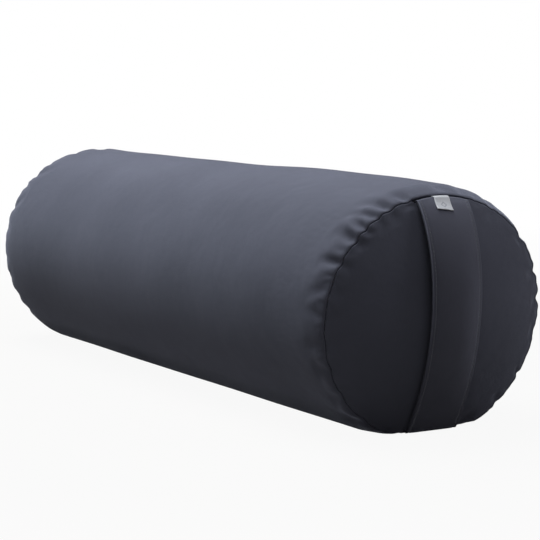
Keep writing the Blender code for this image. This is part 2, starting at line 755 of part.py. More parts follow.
def pillow_tube(inset, end):
    stations = pillow_stations(end)
    return [pillow_ring(x, inset, end) for x in [-x for x in stations[::-1]] + stations]


def pillow_end(side, rim, edge, apex, ratios):
    """Rings of a pillow end, from its rim to its apex, between two places along the roll."""
    rings = []
    for ratio in ratios:
        x = side * (edge + (apex - edge) * (1 - ratio * ratio))
        rings.append([settled(x, BODY_RADIUS, BODY_RADIUS - rim * ratio, a) for a in PILLOW_ANGLES])
    return rings + [[settled(side * apex, BODY_RADIUS, BODY_RADIUS, 0)]]


def make_liner_tube(finish):
    rings = pillow_tube(0, PILLOW_HALF) + pillow_tube(LINER_THICKNESS, PILLOW_HALF)[::-1]
    return add_object("liner_tube", ring_mesh("liner_tube", rings, True), finish)


def make_liner_end(name, side, finish):
    edge = PILLOW_HALF + LAYER_GAP
    outer = pillow_end(side, PILLOW_RIM, edge + LINER_THICKNESS, PILLOW_APEX, LINER_END_RATIOS)
    inner = pillow_end(side, PILLOW_RIM, edge, PILLOW_APEX - LINER_THICKNESS, LINER_END_RATIOS)
    return add_object(name, ring_mesh(name, outer[::-1] + inner, False), finish)


def make_filling(finish):
    inset = LINER_THICKNESS + LAYER_GAP
    rim = PILLOW_RIM - inset
    apex = PILLOW_APEX - inset
    ends = [
        pillow_end(side, rim, PILLOW_HALF, apex, LINER_END_RATIOS[1:]) for side in (-1, 1)
    ]
    rings = ends[0][::-1] + pillow_tube(inset, PILLOW_HALF) + ends[1]
    return add_object("filling", ring_mesh("filling", rings, False), finish)


# The whole bolster

def clear_scene():
    for obj in list(bpy.data.objects):
        bpy.data.objects.remove(obj, do_unlink=True)


def make_zip(cloth, plastic, metal):
    halves = {
        half: add_empty(f"zip_{name}_half_axis", zip_turning_frame())
        for name, half in (("upper", -1), ("lower", 1))
    }
    for name, half in (("upper", -1), ("lower", 1)):
        make_zip_tape(f"zip_tape_{name}", half, cloth, halves[half])
        make_zip_teeth(f"zip_teeth_{name}", half, plastic, halves[half])
        make_top_stop(f"zip_top_stop_{name}", half, metal, halves[half])
    chain = add_empty("zip_chain", zip_frame(0, TAPE_DEPTH))
    make_bottom_stop(metal, chain)
    slider_axis = add_empty("zip_slider_axis", zip_frame(SLIDER_REST, TAPE_DEPTH))
    make_zip_slider(metal, slider_axis)
    pull_axis = add_empty(
        "zip_pull_axis", zip_frame(SLIDER_REST, TAPE_DEPTH - BRIDGE_AXIS_HEIGHT)
    )
    make_zip_pull(metal, pull_axis)


def main():
    clear_scene()
    cover = material("cover_cloth", (0.075, 0.080, 0.105), 0.75)
    tape = material("strap_cloth", (0.060, 0.064, 0.085), 0.8)
    white = material("label_cloth", (0.78, 0.80, 0.86), 0.8)
    black_cloth = material("zip_tape_cloth", (0.035, 0.037, 0.045), 0.85)
    plastic = material("zip_plastic", (0.030, 0.032, 0.040), 0.4)
    metal = material("zip_metal", (0.055, 0.057, 0.065), 0.35, 0.8)
    calico = material("liner_cloth", (0.62, 0.58, 0.50), 0.9)
    fibre = material("filling_fibre", (0.80, 0.77, 0.70), 1.0)
    make_cover_body(cover)
    make_end_panel("cover_end_handle", 1, cover)
    make_end_panel("cover_end_plain", -1, cover)
    make_handle_strap(tape)
    make_label_tag(white)
    make_zip(black_cloth, plastic, metal)
    make_liner_tube(calico)
    make_liner_end("liner_end_near", 1, calico)
    make_liner_end("liner_end_far", -1, calico)
    make_filling(fibre)


main()
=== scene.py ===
"""Looks of the round yoga bolster: gathered cotton cover, carrying strap, label, zip and pillow.

Metres, +Z up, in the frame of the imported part. The end with the strap is at +X.
"""

import json
import math
import random

import bmesh
import bpy
import numpy as np
from mathutils import Matrix, Vector


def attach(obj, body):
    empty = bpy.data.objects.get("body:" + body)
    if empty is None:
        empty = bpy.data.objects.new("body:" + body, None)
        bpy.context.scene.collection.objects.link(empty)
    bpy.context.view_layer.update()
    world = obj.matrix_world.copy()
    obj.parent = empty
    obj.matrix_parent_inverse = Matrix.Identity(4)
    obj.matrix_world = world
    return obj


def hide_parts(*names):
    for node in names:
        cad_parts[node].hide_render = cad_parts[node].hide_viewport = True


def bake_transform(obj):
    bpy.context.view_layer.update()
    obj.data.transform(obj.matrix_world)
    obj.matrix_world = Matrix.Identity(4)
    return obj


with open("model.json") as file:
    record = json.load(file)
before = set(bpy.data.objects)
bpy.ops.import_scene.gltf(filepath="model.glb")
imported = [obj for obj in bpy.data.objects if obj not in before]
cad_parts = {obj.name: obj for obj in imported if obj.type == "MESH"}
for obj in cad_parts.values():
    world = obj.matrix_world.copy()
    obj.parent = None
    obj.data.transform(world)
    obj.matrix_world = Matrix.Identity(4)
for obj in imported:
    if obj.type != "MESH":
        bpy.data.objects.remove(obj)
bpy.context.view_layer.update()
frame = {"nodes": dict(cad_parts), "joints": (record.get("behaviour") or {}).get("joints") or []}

# Stuffed roll, as in the solids
HALF_LENGTH = 0.325
BODY_RADIUS = 0.108
RIM_RADIUS = 0.1022
SHOULDER_LENGTH = 0.031
CROWN_HEIGHT = 0.026
SETTLE_DEPTH = 0.0123
SETTLE_SPREAD = 0.0046
BED_SOFTNESS = 0.006
END_LEAN = 0.0065
LEAN_REACH = 0.108
CENTRE_HEIGHT = BODY_RADIUS - SETTLE_DEPTH
CENTRE = Vector((0, 0, CENTRE_HEIGHT))
SPREAD = 1 + SETTLE_SPREAD / BODY_RADIUS
GROUND_CLEARANCE = 0.0001
PRESSED_HEIGHTS = (0.002, 0.016)

# This one roll: the strap draws the rim's top in, and the stuffing has packed a little fuller on top of
# the strap's end and slimmer low on its side. A pair says where a form fades in and where it is full.
STRAP_PULL = 0.0019
STRAP_PULL_PLACE = math.radians(75)
STRAP_PULL_WIDTH = 0.5
STRAP_PULL_REACH = 0.09
FULL_TOP = 0.0030
FULL_TOP_ALONG = (-0.05, 0.16)
FULL_TOP_UP = (-0.1, 0.9)
SLIM_SIDE = 0.0022
SLIM_SIDE_ALONG = (0.10, 0.28)
SLIM_SIDE_PLACE = math.radians(-140)
SLIM_SIDE_WIDTH = 0.55
SHOULDER_FADE = (0.001, 0.016)
SLOW_WAVE = 0.00035
SLOW_WAVE_FADE = (0.0, 0.05)

# Cloth and seams
COVER_THICKNESS = 0.0010
LAYER_GAP = 0.0003
ALLOWANCE_SLOPE = math.radians(35)
ALLOWANCE_START = 0.0025
ALLOWANCE_END = 0.005
TAIL_STEPS = 3
CREASE_ROUND = 0.0012
TURN_STEPS = 7
END_CREASE_ROUND = CREASE_ROUND * 0.9
END_TURN_STEPS = 9
END_SLACK = 0.0006
STACK_FADE = (0.004, 0.026)
BODY_SWELL = 0.0009
END_SWELL = 0.0006
# The swells between the folds are painted paler: partly wear, partly a painted highlight where they stand out
# to the light
SWELL_WEAR_AND_HIGHLIGHT = 0.16
INWARDS = np.array((-math.cos(ALLOWANCE_SLOPE), -math.sin(ALLOWANCE_SLOPE)))
TO_END_PANEL = np.array((math.sin(ALLOWANCE_SLOPE), -math.cos(ALLOWANCE_SLOPE)))

# Rings of the panels, as (first, last, count): distances from a rim and from the roll's middle, and
# shares of the rim's radius on an end
RIM_RINGS = ((0.0016, 0.030, 24), (0.0325, 0.070, 11), (0.078, 0.100, 3))
MIDDLE_RINGS = (-0.212, 0.212, 20)
SLOT_END_RINGS = 9
SLOT_MARGIN = 0.001
LEAST_STEP = 0.0004
END_RINGS = ((0.985, 0.86, 20), (0.84, 0.10, 30), (0.05, 0.02, 2))
AROUND = 720

# Gathers: large puckers, and small pleats between them. Each row says how many, and the least and most
# of their depths, lengths and half widths.
LARGEST_PLEAT = 0.0011
PUCKERS = (28, (0.0008, 0.0042), (0.016, 0.042), (0.0030, 0.0072))
PLEATS = (60, (0.0002, LARGEST_PLEAT), (0.006, 0.015), (0.0014, 0.0030))
NEAR_SEED = 7
FAR_SEED = 8
SEEN_SEED = 3
PLEAT_SEED_STEP = 50
FOLD_SCATTER = 0.36
FOLD_SLANT = 0.35
LENGTH_CHANCE = 0.35

# Puckers that the photograph shows beside the near seam: angles in degrees, and their depths
SEEN_PUCKERS = (
    ((-50, -33, -11, 5, 18, 37, 108, 117, 124, 132, 139, 151), (0.0030, 0.0048)),
    ((163, 176, 189), (0.0009, 0.0019)),
    ((200, 214), (0.0028, 0.0036)),
)
SEEN_PUCKER_LENGTH = (0.018, 0.036)
SEEN_PUCKER_WIDTH = (0.0024, 0.0052)
SEEN_REACH = math.radians(9)

# Form of a fold: how it rises from the seam and fades, how it widens, its valley and its swells
FOLD_FADE = 1.5
FOLD_AT_SEAM = 0.55
FOLD_RISE = 1.9
FOLD_WIDENING = 0.9
VALLEY = 1.3
SWELL = 0.42
SWELL_WIDTH = 2.3
SEAM_WAVES = 0.65
SEAM_START = 0.0005
SEAM_REACH = 0.006
END_SHARE = 0.42
END_REACH = 0.45

# Cloth simulation of the panels beside the rim seams
CLOTH_CELL = 0.0024
BODY_BAND = 0.090
BODY_EASE = 0.045
BODY_COLUMN_STEP = 2
END_BAND = 0.055
END_EASE = 0.020
END_COLUMN_STEP = 3
EASE_START = 0.003
EASE_SHARE = 0.6
CLOTH_FRAMES = 16
CLOTH_CAP = 0.0045
CLOTH_SETTINGS = {
    "quality": 4, "mass": 0.15, "tension_stiffness": 12, "compression_stiffness": 12, "shear_stiffness": 4,
    "bending_stiffness": 12, "vertex_group_mass": "held", "use_pressure": True, "uniform_pressure_force": 4,
}

# Strap and label
STRAP_WIDTH = 0.050
STRAP_THICKNESS = 0.0022
STRAP_TUCK = 0.006
STRAP_EDGE_CLEARANCE = 0.0006
STRAP_GROOVE = (0.0010, 0.0026)
STRAP_CUP = (0.0030, 0.0056)
STRAP_BOW_PLACE = 0.88
STRAP_HOLD_REACH = 0.012
STRAP_SHELTER = (0.001, 0.008)
STRAP_ROWS = 90
STRAP_COLUMNS = (61, 7)
POCKET_STEP = 0.0035
HAND_GAP = 0.0090
EDGE_RUB = 0.02
EDGE_RUB_WIDTH = 0.0008
LABEL_WIDTH = 0.015
LABEL_LENGTH = 0.0123
LABEL_THICKNESS = 0.0006
LABEL_OFF = -0.0021
LABEL_TILT = 0.14
LABEL_CURL = math.radians(15)
LABEL_STEPS = 24
LABEL_COLUMNS = (21, 5)
TUCK_STEPS = 3
FOLD_STEPS = 10
FOLD_END = TUCK_STEPS + FOLD_STEPS - 1
NORMAL_PLACES = 25
STRAP_STACK = (STRAP_THICKNESS + 2 * LAYER_GAP) / math.cos(ALLOWANCE_SLOPE)
LABEL_STACK = STRAP_STACK + LABEL_THICKNESS + LAYER_GAP
STRAP_END_SLOPE = math.atan2(2 * (CROWN_HEIGHT + HAND_GAP), RIM_RADIUS)

# Zip
ZIP_ANGLE = math.radians(12)
SLIDER_NOSE = 0.2097
SLIDER_MOUTH = 0.0042
SLIDER_POST = (0.0014, 0.00025)
SLIDER_ROOM = 0.001
MOUTH_WIDTH = 0.020
MOUTH_HEIGHT = 0.00294
BRIDGE_AXIS_HEIGHT = 0.00365
SLOT_LOW_END = -0.220
SLOT_HIGH_END = 0.217
SLOT_HALF_WIDTH = 0.00635
SLOT_CLOSING = 0.006
SEAM_CLOSED = 0.00003
HEM_TURN = 0.007
HEM_ROLL = COVER_THICKNESS * 0.48
HEM_STEPS = 6
ZIP_FLAT = (0.010, 0.030)
ZIP_FLAT_ENDS = 0.06
TEETH_EDGE = 0.00012
METAL_EDGE = 0.0002
SHARP_ANGLE = math.radians(35)
SHADED_ANGLE = math.radians(40)

# Stitches. A station is a place along the stitch, the thread's fullness there and its height.
STITCH_PITCH = 0.0030
STITCH_LENGTH = 0.0024
STITCH_STATIONS = ((-0.5, 0.35, -0.7), (-0.3, 0.95, 0.15), (0, 1, 0.35), (0.3, 0.95, 0.15), (0.5, 0.35, -0.7))
STITCH_INSET = 0.0028
STITCH_LINE = STRAP_WIDTH / 2 - STITCH_INSET
STITCH_SEAT = 0.80
STITCH_PROBE = 0.0004
SIDE_PROBE = 0.002
STITCH_DENT = 0.24
STITCH_DENT_WIDTH = 0.0009
THREAD_SIDES = 6
STRAP_THREAD = 0.00028
ZIP_THREAD = 0.00026
ZIP_STITCH_LINE = (SLOT_LOW_END + 0.002, SLOT_HIGH_END - 0.002, 400)

# The pillow's skin gives way by this much along its middle, and by this much near its ends
PILLOW_GIVE = (0.0035, 0.0080)
PILLOW_GIVE_FADE = (0.060, 0.015)

# Colours, weaves and the label's lozenge
COVER_COLOR = (0.072, 0.075, 0.099)
STRAP_COLOR = (0.076, 0.078, 0.102)
THREAD_COLOR = (0.045, 0.048, 0.062)
TAPE_COLOR = (0.022, 0.023, 0.028)
TEETH_COLOR = (0.020, 0.021, 0.025)
ENAMEL_COLOR = (0.018, 0.018, 0.020)
WORN_METAL = (0.30, 0.30, 0.31, 1)
CALICO_COLOR = (0.55, 0.51, 0.43)
FIBRE_COLOR = (0.80, 0.77, 0.70)
LABEL_PALE = (0.33, 0.34, 0.37, 1)
LABEL_MARK = (0.17, 0.18, 0.21, 1)
LOZENGE_OUTER = (0.0029, 0.0031)
LOZENGE_INNER = (0.0015, 0.0017)
COTTON_PITCH = 0.00048
TAPE_PITCH = 0.0006
CALICO_PITCH = 0.0007
SATIN_PITCH = 0.00032

# Stage: the floor, the sky, and each lamp's name, place, side, power and colour
FLOOR_SIDE = 40
FLOOR_COLOR = (0.19, 0.180, 0.170, 1)
FLOOR_SHOWN = 0.93
FLOOR_FADE = (0.5, 1.6)
WHITE = (1, 1, 1, 1)
SKY_COLOR = (0.95, 0.97, 1.0, 1)
SKY_STRENGTH = 0.062
LAMPS = (
    ("top_softbox", (-0.56, -0.27, 1.97), 1.4, 75, (0.94, 0.98, 0.99)),
    ("back_softbox", (0.9, 1.5, 1.45), 0.7, 13, (0.97, 0.97, 1.0)),
    ("front_softbox", (0.9, -0.05, 1.90), 0.7, 7.5, (0.97, 0.97, 1.0)),
)

# Photograph: a long lens, set low, that sees the strap's end and the side of the roll at -Y
CAMERA_FOCAL_PIXELS = 1869.8
IMAGE_PIXELS = 540
CAMERA_DISTANCE = 1.812
CAMERA_AZIMUTH = math.radians(59.546)
CAMERA_ELEVATION = math.radians(6.848)
CENTRE_PIXEL = (-30.881, 5.308)
CAMERA_CLIP = (0.05, 50)
SENSOR = 36


# Shape of the settled roll, on arrays of numbers

def smoothstep(value, low=0.0, high=1.0):
    t = np.clip((np.asarray(value, float) - low) / (high - low), 0, 1)
    return t * t * (3 - 2 * t)


def bell(value, width):
    return np.exp(-((value / width) ** 2))


def between(low, high, share):
    return low + (high - low) * share


def angle_between(a, b):
    """Shortest signed turn from b to a."""
    return (np.asarray(a) - b + math.pi) % math.tau - math.pi


def soft_floor(height):
    """Flat on the ground where the roll would sink below it, with a soft edge to the flat."""
    height = np.asarray(height, float)
    soft = (height + BED_SOFTNESS) ** 2 / (4 * BED_SOFTNESS)
    return np.where(height < BED_SOFTNESS, np.where(height <= -BED_SOFTNESS, 0, soft), height)


def settled(x, radius, depth, angle):
    """Points at a depth below the settled skin of the given free radius. Angle 0 is +Y."""
    x, radius, depth, angle = np.broadcast_arrays(*(np.asarray(v, float) for v in (x, radius, depth, angle)))
    z = soft_floor(CENTRE_HEIGHT + radius * np.sin(angle))
    share = 1 - depth / radius
    y = radius * np.cos(angle) * SPREAD * share
    z = between(CENTRE_HEIGHT, z, share)
    reach = np.clip((np.abs(x) - HALF_LENGTH + LEAN_REACH) / LEAN_REACH, 0, 1)
    lean = END_LEAN * reach * (z - CENTRE_HEIGHT) / RIM_RADIUS
    pull = bell(angle_between(angle, STRAP_PULL_PLACE), STRAP_PULL_WIDTH)
    pull *= smoothstep(x, HALF_LENGTH - STRAP_PULL_REACH, HALF_LENGTH)
    z = z - STRAP_PULL * pull * share
    return np.stack((x + np.copysign(1, x) * lean, y, z), axis=-1)


def body_radius(x):
    share = np.clip((np.abs(x) - HALF_LENGTH + SHOULDER_LENGTH) / SHOULDER_LENGTH, 0, 1)
    return between(RIM_RADIUS, BODY_RADIUS, np.sqrt(1 - share * share))


def above_ground(points):
    points[..., 2] = np.maximum(points[..., 2], GROUND_CLEARANCE)
    return points


def pressed(angle):
    """0 where the roll is pressed on the ground and 1 clear of it."""
    return smoothstep(CENTRE_HEIGHT + RIM_RADIUS * np.sin(angle), *PRESSED_HEIGHTS)


def unevenness(x, angle):
    """Slow waves of the stuffed skin, and its fuller top and slimmer side. Inwards is positive."""
    wave = (
        np.sin(x * 23 + 1.3 * np.cos(angle) + 0.7)
        + 0.7 * np.sin(x * 41 - 2 * np.sin(angle + 0.4) + 2.1)
        + 0.6 * np.sin(3 * angle + x * 17)
    )
    clear = smoothstep(HALF_LENGTH - np.abs(x), *SLOW_WAVE_FADE)
    shoulder = smoothstep(HALF_LENGTH - x, *SHOULDER_FADE)
    near_top = shoulder * smoothstep(x, *FULL_TOP_ALONG) * smoothstep(np.sin(angle), *FULL_TOP_UP)
    low_side = smoothstep(x, *SLIM_SIDE_ALONG) * shoulder
    low_side = low_side * bell(angle_between(angle, SLIM_SIDE_PLACE), SLIM_SIDE_WIDTH)
    slow = SLOW_WAVE * wave * clear * pressed(angle)
    return slow - FULL_TOP * near_top + SLIM_SIDE * low_side * pressed(angle)


# Gathers

def make_fold(chance, place, depth, length, widths):
    """A fold as (angle, depth, length, half width, slant)."""
    return place, depth, length, chance.uniform(*widths), chance.uniform(-FOLD_SLANT, FOLD_SLANT)


def make_folds(seed, count, depths, lengths, widths):
    """Folds set by chance all round a rim."""
    chance = random.Random(seed)
    folds = []
    for i in range(count):
        place = (i + chance.uniform(-FOLD_SCATTER, FOLD_SCATTER)) * math.tau / count
        strength = chance.random()
        length = between(*lengths, (1 - LENGTH_CHANCE) * strength + LENGTH_CHANCE * chance.random())
        folds.append(make_fold(chance, place, between(*depths, strength), length, widths))
    return folds


def rim_folds(seed):
    return make_folds(seed, *PUCKERS) + make_folds(seed + PLEAT_SEED_STEP, *PLEATS)


def near_folds():
    """The seen folds, and those of chance that are small or that lie clear of the seen ones."""
    chance = random.Random(SEEN_SEED)
    seen = []
    for places, depths in SEEN_PUCKERS:
        for place in places:
            depth = chance.uniform(*depths)
            length = chance.uniform(*SEEN_PUCKER_LENGTH)
            seen.append(make_fold(chance, math.radians(place), depth, length, SEEN_PUCKER_WIDTH))
    others = []
    for fold in rim_folds(NEAR_SEED):
        clear = min(abs(angle_between(fold[0], near[0])) for near in seen) >= SEEN_REACH
        if clear or fold[1] < LARGEST_PLEAT:
            others.append(fold)
    return seen + others


FOLDS = {1: near_folds(), -1: rim_folds(FAR_SEED)}


def fold_depth(side, away, angle, reach=1.0):
    """How deep the folds are at a distance from the seam. Between them the cloth swells."""
    away = np.asarray(away, float)
    depth = np.zeros(np.broadcast(away, angle).shape)
    for place, deep, length, width, slant in FOLDS[side]:
        along = away / (length * reach)
        fade = (1 - np.clip(along, 0, 1)) ** FOLD_FADE * (FOLD_AT_SEAM + FOLD_RISE * along)
        across = angle_between(angle, place) * RIM_RADIUS - slant * away
        spread = width * (1 + FOLD_WIDENING * along)
        depth += deep * fade * (VALLEY * bell(across, spread) - SWELL * bell(across, SWELL_WIDTH * spread))
    return depth


def eased_swells(folds, angles):
    """The folds, with the swells between them pressed flat on the ground."""
    return np.where(folds < 0, folds * pressed(angles), folds)


def seam_share(away, share):
    """Both panels follow the seam's own waves at the seam, and their own folds away from it."""
    return between(SEAM_WAVES, share, smoothstep(away, 0, SEAM_REACH))


def strap_hold(angle):
    """1 under the strap's ends, where the seam is held flat, and 0 away from them."""
    half = math.asin((STRAP_WIDTH / 2 + STRAP_EDGE_CLEARANCE) / (RIM_RADIUS * SPREAD))
    step = POCKET_STEP / RIM_RADIUS
    hold = np.zeros(np.shape(angle))
    for upright in (math.pi / 2, -math.pi / 2):
        off = np.abs(angle_between(angle, upright))
        hold = np.maximum(hold, 1 - smoothstep(off, half, half + step))
    return hold


# Meshes

def add_object(name, data):
    obj = bpy.data.objects.new(name, data)
    bpy.context.scene.collection.objects.link(obj)
    return obj


def new_mesh(name, points, faces, finish, smooth=True):
    mesh = bpy.data.meshes.new(name)
    mesh.from_pydata([tuple(p) for p in points], [], faces)
    mesh.materials.append(finish)
    if smooth:
        mesh.shade_smooth()
    return add_object(name, mesh)


def grid_faces(rows, columns, wrap=False):
    """Faces between the points of a grid, closed across its columns if it wraps."""
    faces = []
    for low in range(0, (rows - 1) * columns, columns):
        high = low + columns
        for c in range(columns if wrap else columns - 1):
            after = (c + 1) % columns
            faces.append((low + c, low + after, high + after, high + c))
    return faces


def tube_faces(rows, columns, first=0):
    """Faces of a tube of rings with a cap at each end, from the number of its first point."""
    faces = grid_faces(rows, columns, True)
    faces += [tuple(range(columns)), tuple(range((rows - 1) * columns, rows * columns))]
    return [tuple(first + point for point in face) for face in faces]


def evaluated(obj):
    """The object as its modifiers leave it."""
    return obj.evaluated_get(bpy.context.evaluated_depsgraph_get())


def mesh_points(mesh):
    points = np.empty(len(mesh.vertices) * 3, np.float32)
    mesh.vertices.foreach_get("co", points)
    return points.reshape(-1, 3)


def store_cloth_place(obj, along, around):
    """Place of each point in the flat cloth, in metres, for the weave."""
    values = np.zeros((len(obj.data.vertices), 3), np.float32)
    for k, place in enumerate(np.broadcast_arrays(along, around)):
        values[:, k] = place.ravel()
    layer = obj.data.attributes.new("cloth", "FLOAT_VECTOR", "POINT")
    layer.data.foreach_set("vector", values.ravel())


def store_wear_and_highlight(obj, value):
    """How pale each point is: wear on the strap's edges, and on the swells of the cover's folds wear with a
    painted highlight.
    """
    layer = obj.data.attributes.new("paler_wear_and_highlight", "FLOAT", "POINT")
    layer.data.foreach_set("value", np.asarray(value, np.float32).ravel())


def face_outwards(obj):
    work = bmesh.new()
    work.from_mesh(obj.data)
    bmesh.ops.recalc_face_normals(work, faces=work.faces)
    work.to_mesh(obj.data)
    work.free()


def rounded_corner(before, corner, after, reach, steps):
    """Points of a soft turn at a corner of a path."""
    before, corner, after = (np.asarray(p, float) for p in (before, corner, after))
    start = corner + (before - corner) / np.linalg.norm(before - corner) * reach
    end = corner + (after - corner) / np.linalg.norm(after - corner) * reach
    ts = np.linspace(0, 1, steps)[:, None]
    return (1 - ts) ** 2 * start + 2 * ts * (1 - ts) * corner + ts ** 2 * end


def allowance(corner, start, end):
    """Points of a seam allowance, between two distances from the seam."""
    return np.array([corner + INWARDS * d for d in np.linspace(start, end, TAIL_STEPS)])


def interpolated(at, places, values):
    """Rows of values carried over to new places, each column by itself."""
    columns = values.reshape(len(places), -1).T
    return np.stack([np.interp(at, places, column) for column in columns], axis=-1)


def path_lengths(path):
    steps = np.linalg.norm(np.diff(path, axis=0), axis=1)
    return np.concatenate(([0], np.cumsum(steps)))


def path_normals(path):
    """Unit normals of a path in (x, r), to its left."""
    tangent = np.gradient(path, axis=0)
    tangent /= np.linalg.norm(tangent, axis=1)[:, None]
    return np.stack((-tangent[:, 1], tangent[:, 0]), axis=1)


def surface_normals(points):
    along = np.gradient(points, axis=0)
    across = np.gradient(points, axis=1)
    normal = np.cross(along, across)
    return normal / np.linalg.norm(normal, axis=-1, keepdims=True)


# Nodes of materials

def feed(tree, node, inputs):
    """Links or sets inputs of a node, by name or by number."""
    for key, value in inputs.items():
        if isinstance(value, bpy.types.NodeSocket):
            tree.links.new(value, node.inputs[key])
        else:
            node.inputs[key].default_value = value


def add_node(tree, kind, inputs, **settings):
    node = tree.nodes.new("ShaderNode" + kind)
    for key, value in settings.items():
        setattr(node, key, value)
    feed(tree, node, inputs)
    return node


def node_material(name):
    made = bpy.data.materials.new(name)
    made.use_nodes = True
    tree = made.node_tree
    return made, tree, tree.nodes["Principled BSDF"]


def object_place(tree):
    return add_node(tree, "TexCoord", {}).outputs["Object"]


def stored(tree, name, output):
    """What each point of the mesh stores under this name."""
    return add_node(tree, "Attribute", {}, attribute_name=name).outputs[output]


def math_node(tree, operation, *values):
    return add_node(tree, "Math", dict(enumerate(values)), operation=operation).outputs[0]


def mix_color(tree, factor, a, b):
    return add_node(tree, "Mix", {0: factor, 6: a, 7: b}, data_type="RGBA").outputs[2]


def mix_shaders(tree, factor, first, second, output):
    mix = add_node(tree, "MixShader", {0: factor, 1: first, 2: second})
    tree.links.new(mix.outputs[0], tree.nodes[output].inputs["Surface"])


def noise(tree, vector, scale, detail, roughness=0.5):
    inputs = {"Vector": vector, "Scale": scale, "Detail": detail, "Roughness": roughness}
    return add_node(tree, "TexNoise", inputs).outputs["Fac"]


def map_range(tree, value, low, high, to_low=0.0, to_high=1.0):
    inputs = {"Value": value, "From Min": low, "From Max": high, "To Min": to_low, "To Max": to_high}
    return add_node(tree, "MapRange", inputs).outputs["Result"]


def thread_height(tree, place, pitch, twill=0.0):
    """Height of woven threads from the place in the cloth: warp and weft over and under."""
    split = add_node(tree, "SeparateXYZ", {0: place})
    along = math_node(tree, "MULTIPLY", split.outputs[0], math.tau / pitch)
    across = math_node(tree, "MULTIPLY", split.outputs[1], math.tau / pitch)
    if twill:
        across = math_node(tree, "ADD", across, math_node(tree, "MULTIPLY", along, twill))
    warp = math_node(tree, "SINE", along)
    weft = math_node(tree, "SINE", across)
    over = math_node(tree, "MULTIPLY", warp, weft)
    ridges = math_node(tree, "ADD", math_node(tree, "ABSOLUTE", warp), math_node(tree, "ABSOLUTE", weft))
    return math_node(tree, "ADD", over, math_node(tree, "MULTIPLY", ridges, 0.5))


def add_bump(tree, shader, height, strength, distance, under=None):
    bump = add_node(tree, "Bump", {"Height": height, "Strength": strength, "Distance": distance})
    if under is not None:
        tree.links.new(under, bump.inputs["Normal"])
    tree.links.new(bump.outputs[0], shader.inputs["Normal"])
    return bump.outputs[0]


def shade(color, share=1.0, lift=0.0):
    """A share of a colour, lifted, with its alpha."""
    return tuple(min(1, c * share + lift) for c in color) + (1,)


def seen_ray(tree):
    """1 for a ray of the camera, and for one that a surface reflects or lets through."""
    rays = add_node(tree, "LightPath", {}).outputs
    seen = math_node(tree, "MAXIMUM", rays["Is Camera Ray"], rays["Is Glossy Ray"])
    return math_node(tree, "MAXIMUM", seen, rays["Is Transmission Ray"])


# Materials

def cloth_material(name, color, pitch, roughness=0.7, sheen=0.3, worn_and_highlit=True):
    """Fine woven cotton with a soft sheen, uneven dye, slubs, and paler swells of the folds: partly wear,
    partly a painted highlight.
    """
    made, tree, shader = node_material(name)
    cloth = stored(tree, "cloth", "Vector")
    place = object_place(tree)
    threads = thread_height(tree, cloth, pitch)
    stretched = add_node(tree, "Mapping", {"Vector": cloth, "Scale": (0.15, 1.0, 1.0)}).outputs[0]
    slubs = noise(tree, stretched, 900, 2)
    dye = noise(tree, place, 14, 4)
    pale = shade(color, 1.10, 0.001)
    base = mix_color(tree, map_range(tree, dye, 0.3, 0.7), shade(color, 0.91), pale)
    base = mix_color(tree, map_range(tree, slubs, 0.45, 0.75, 0, 0.6), base, pale)
    base = mix_color(tree, map_range(tree, threads, -1, 2, 0.0, 0.35), base, pale)
    # Paler where the stored value says: wear, and on the folds' swells a painted highlight
    if worn_and_highlit:
        base = mix_color(tree, stored(tree, "paler_wear_and_highlight", "Fac"), base, shade(color, 1.6, 0.01))
    feed(tree, shader, {
        "Base Color": base,
        "Roughness": map_range(tree, slubs, 0.3, 0.8, roughness - 0.05, roughness + 0.08),
        "Sheen Weight": sheen,
        "Sheen Roughness": 0.35,
        "Sheen Tint": (0.75, 0.80, 1.0, 1),
        "Specular IOR Level": 0.03,
    })
    crumple = noise(tree, place, 55, 3)
    soft = add_bump(tree, shader, crumple, 0.42, 0.0012)
    add_bump(tree, shader, threads, 0.35, 0.00009, soft)
    return made


def thread_material(name, color):
    made, tree, shader = node_material(name)
    wave = {"Vector": object_place(tree), "Scale": 900}
    twist = add_node(tree, "TexWave", wave, wave_type="BANDS", bands_direction="DIAGONAL")
    ply = twist.outputs["Fac"]
    base = mix_color(tree, ply, shade(color), shade(color, 1.8))
    feed(tree, shader, {"Base Color": base, "Roughness": 0.55, "Sheen Weight": 0.2})
    add_bump(tree, shader, ply, 0.5, 0.0001)
    return made


def plastic_material(name, color):
    made, tree, shader = node_material(name)
    place = object_place(tree)
    scuffs = noise(tree, place, 320, 5, 0.7)
    feed(tree, shader, {
        "Base Color": mix_color(
            tree, map_range(tree, scuffs, 0.6, 0.8, 0, 0.5), shade(color), shade(color, 2.2)
        ),
        "Roughness": map_range(tree, scuffs, 0.3, 0.8, 0.32, 0.55),
    })
    add_bump(tree, shader, noise(tree, place, 2500, 2), 0.2, 0.00005)
    return made


def enamel_material(name, color):
    """Black enamel over die-cast metal. It wears through to grey on the edges."""
    made, tree, shader = node_material(name)
    scratches = noise(tree, object_place(tree), 700, 6, 0.75)
    pointed = add_node(tree, "NewGeometry", {}).outputs["Pointiness"]
    edge = map_range(tree, pointed, 0.56, 0.66)
    wear = math_node(tree, "MULTIPLY", edge, map_range(tree, scratches, 0.42, 0.62))
    feed(tree, shader, {
        "Base Color": mix_color(tree, wear, shade(color), WORN_METAL),
        "Metallic": wear,
        "Roughness": map_range(tree, scratches, 0.3, 0.8, 0.22, 0.45),
        "Coat Weight": 0.15,
        "Coat Roughness": 0.15,
    })
    add_bump(tree, shader, scratches, 0.12, 0.00005)
    return made


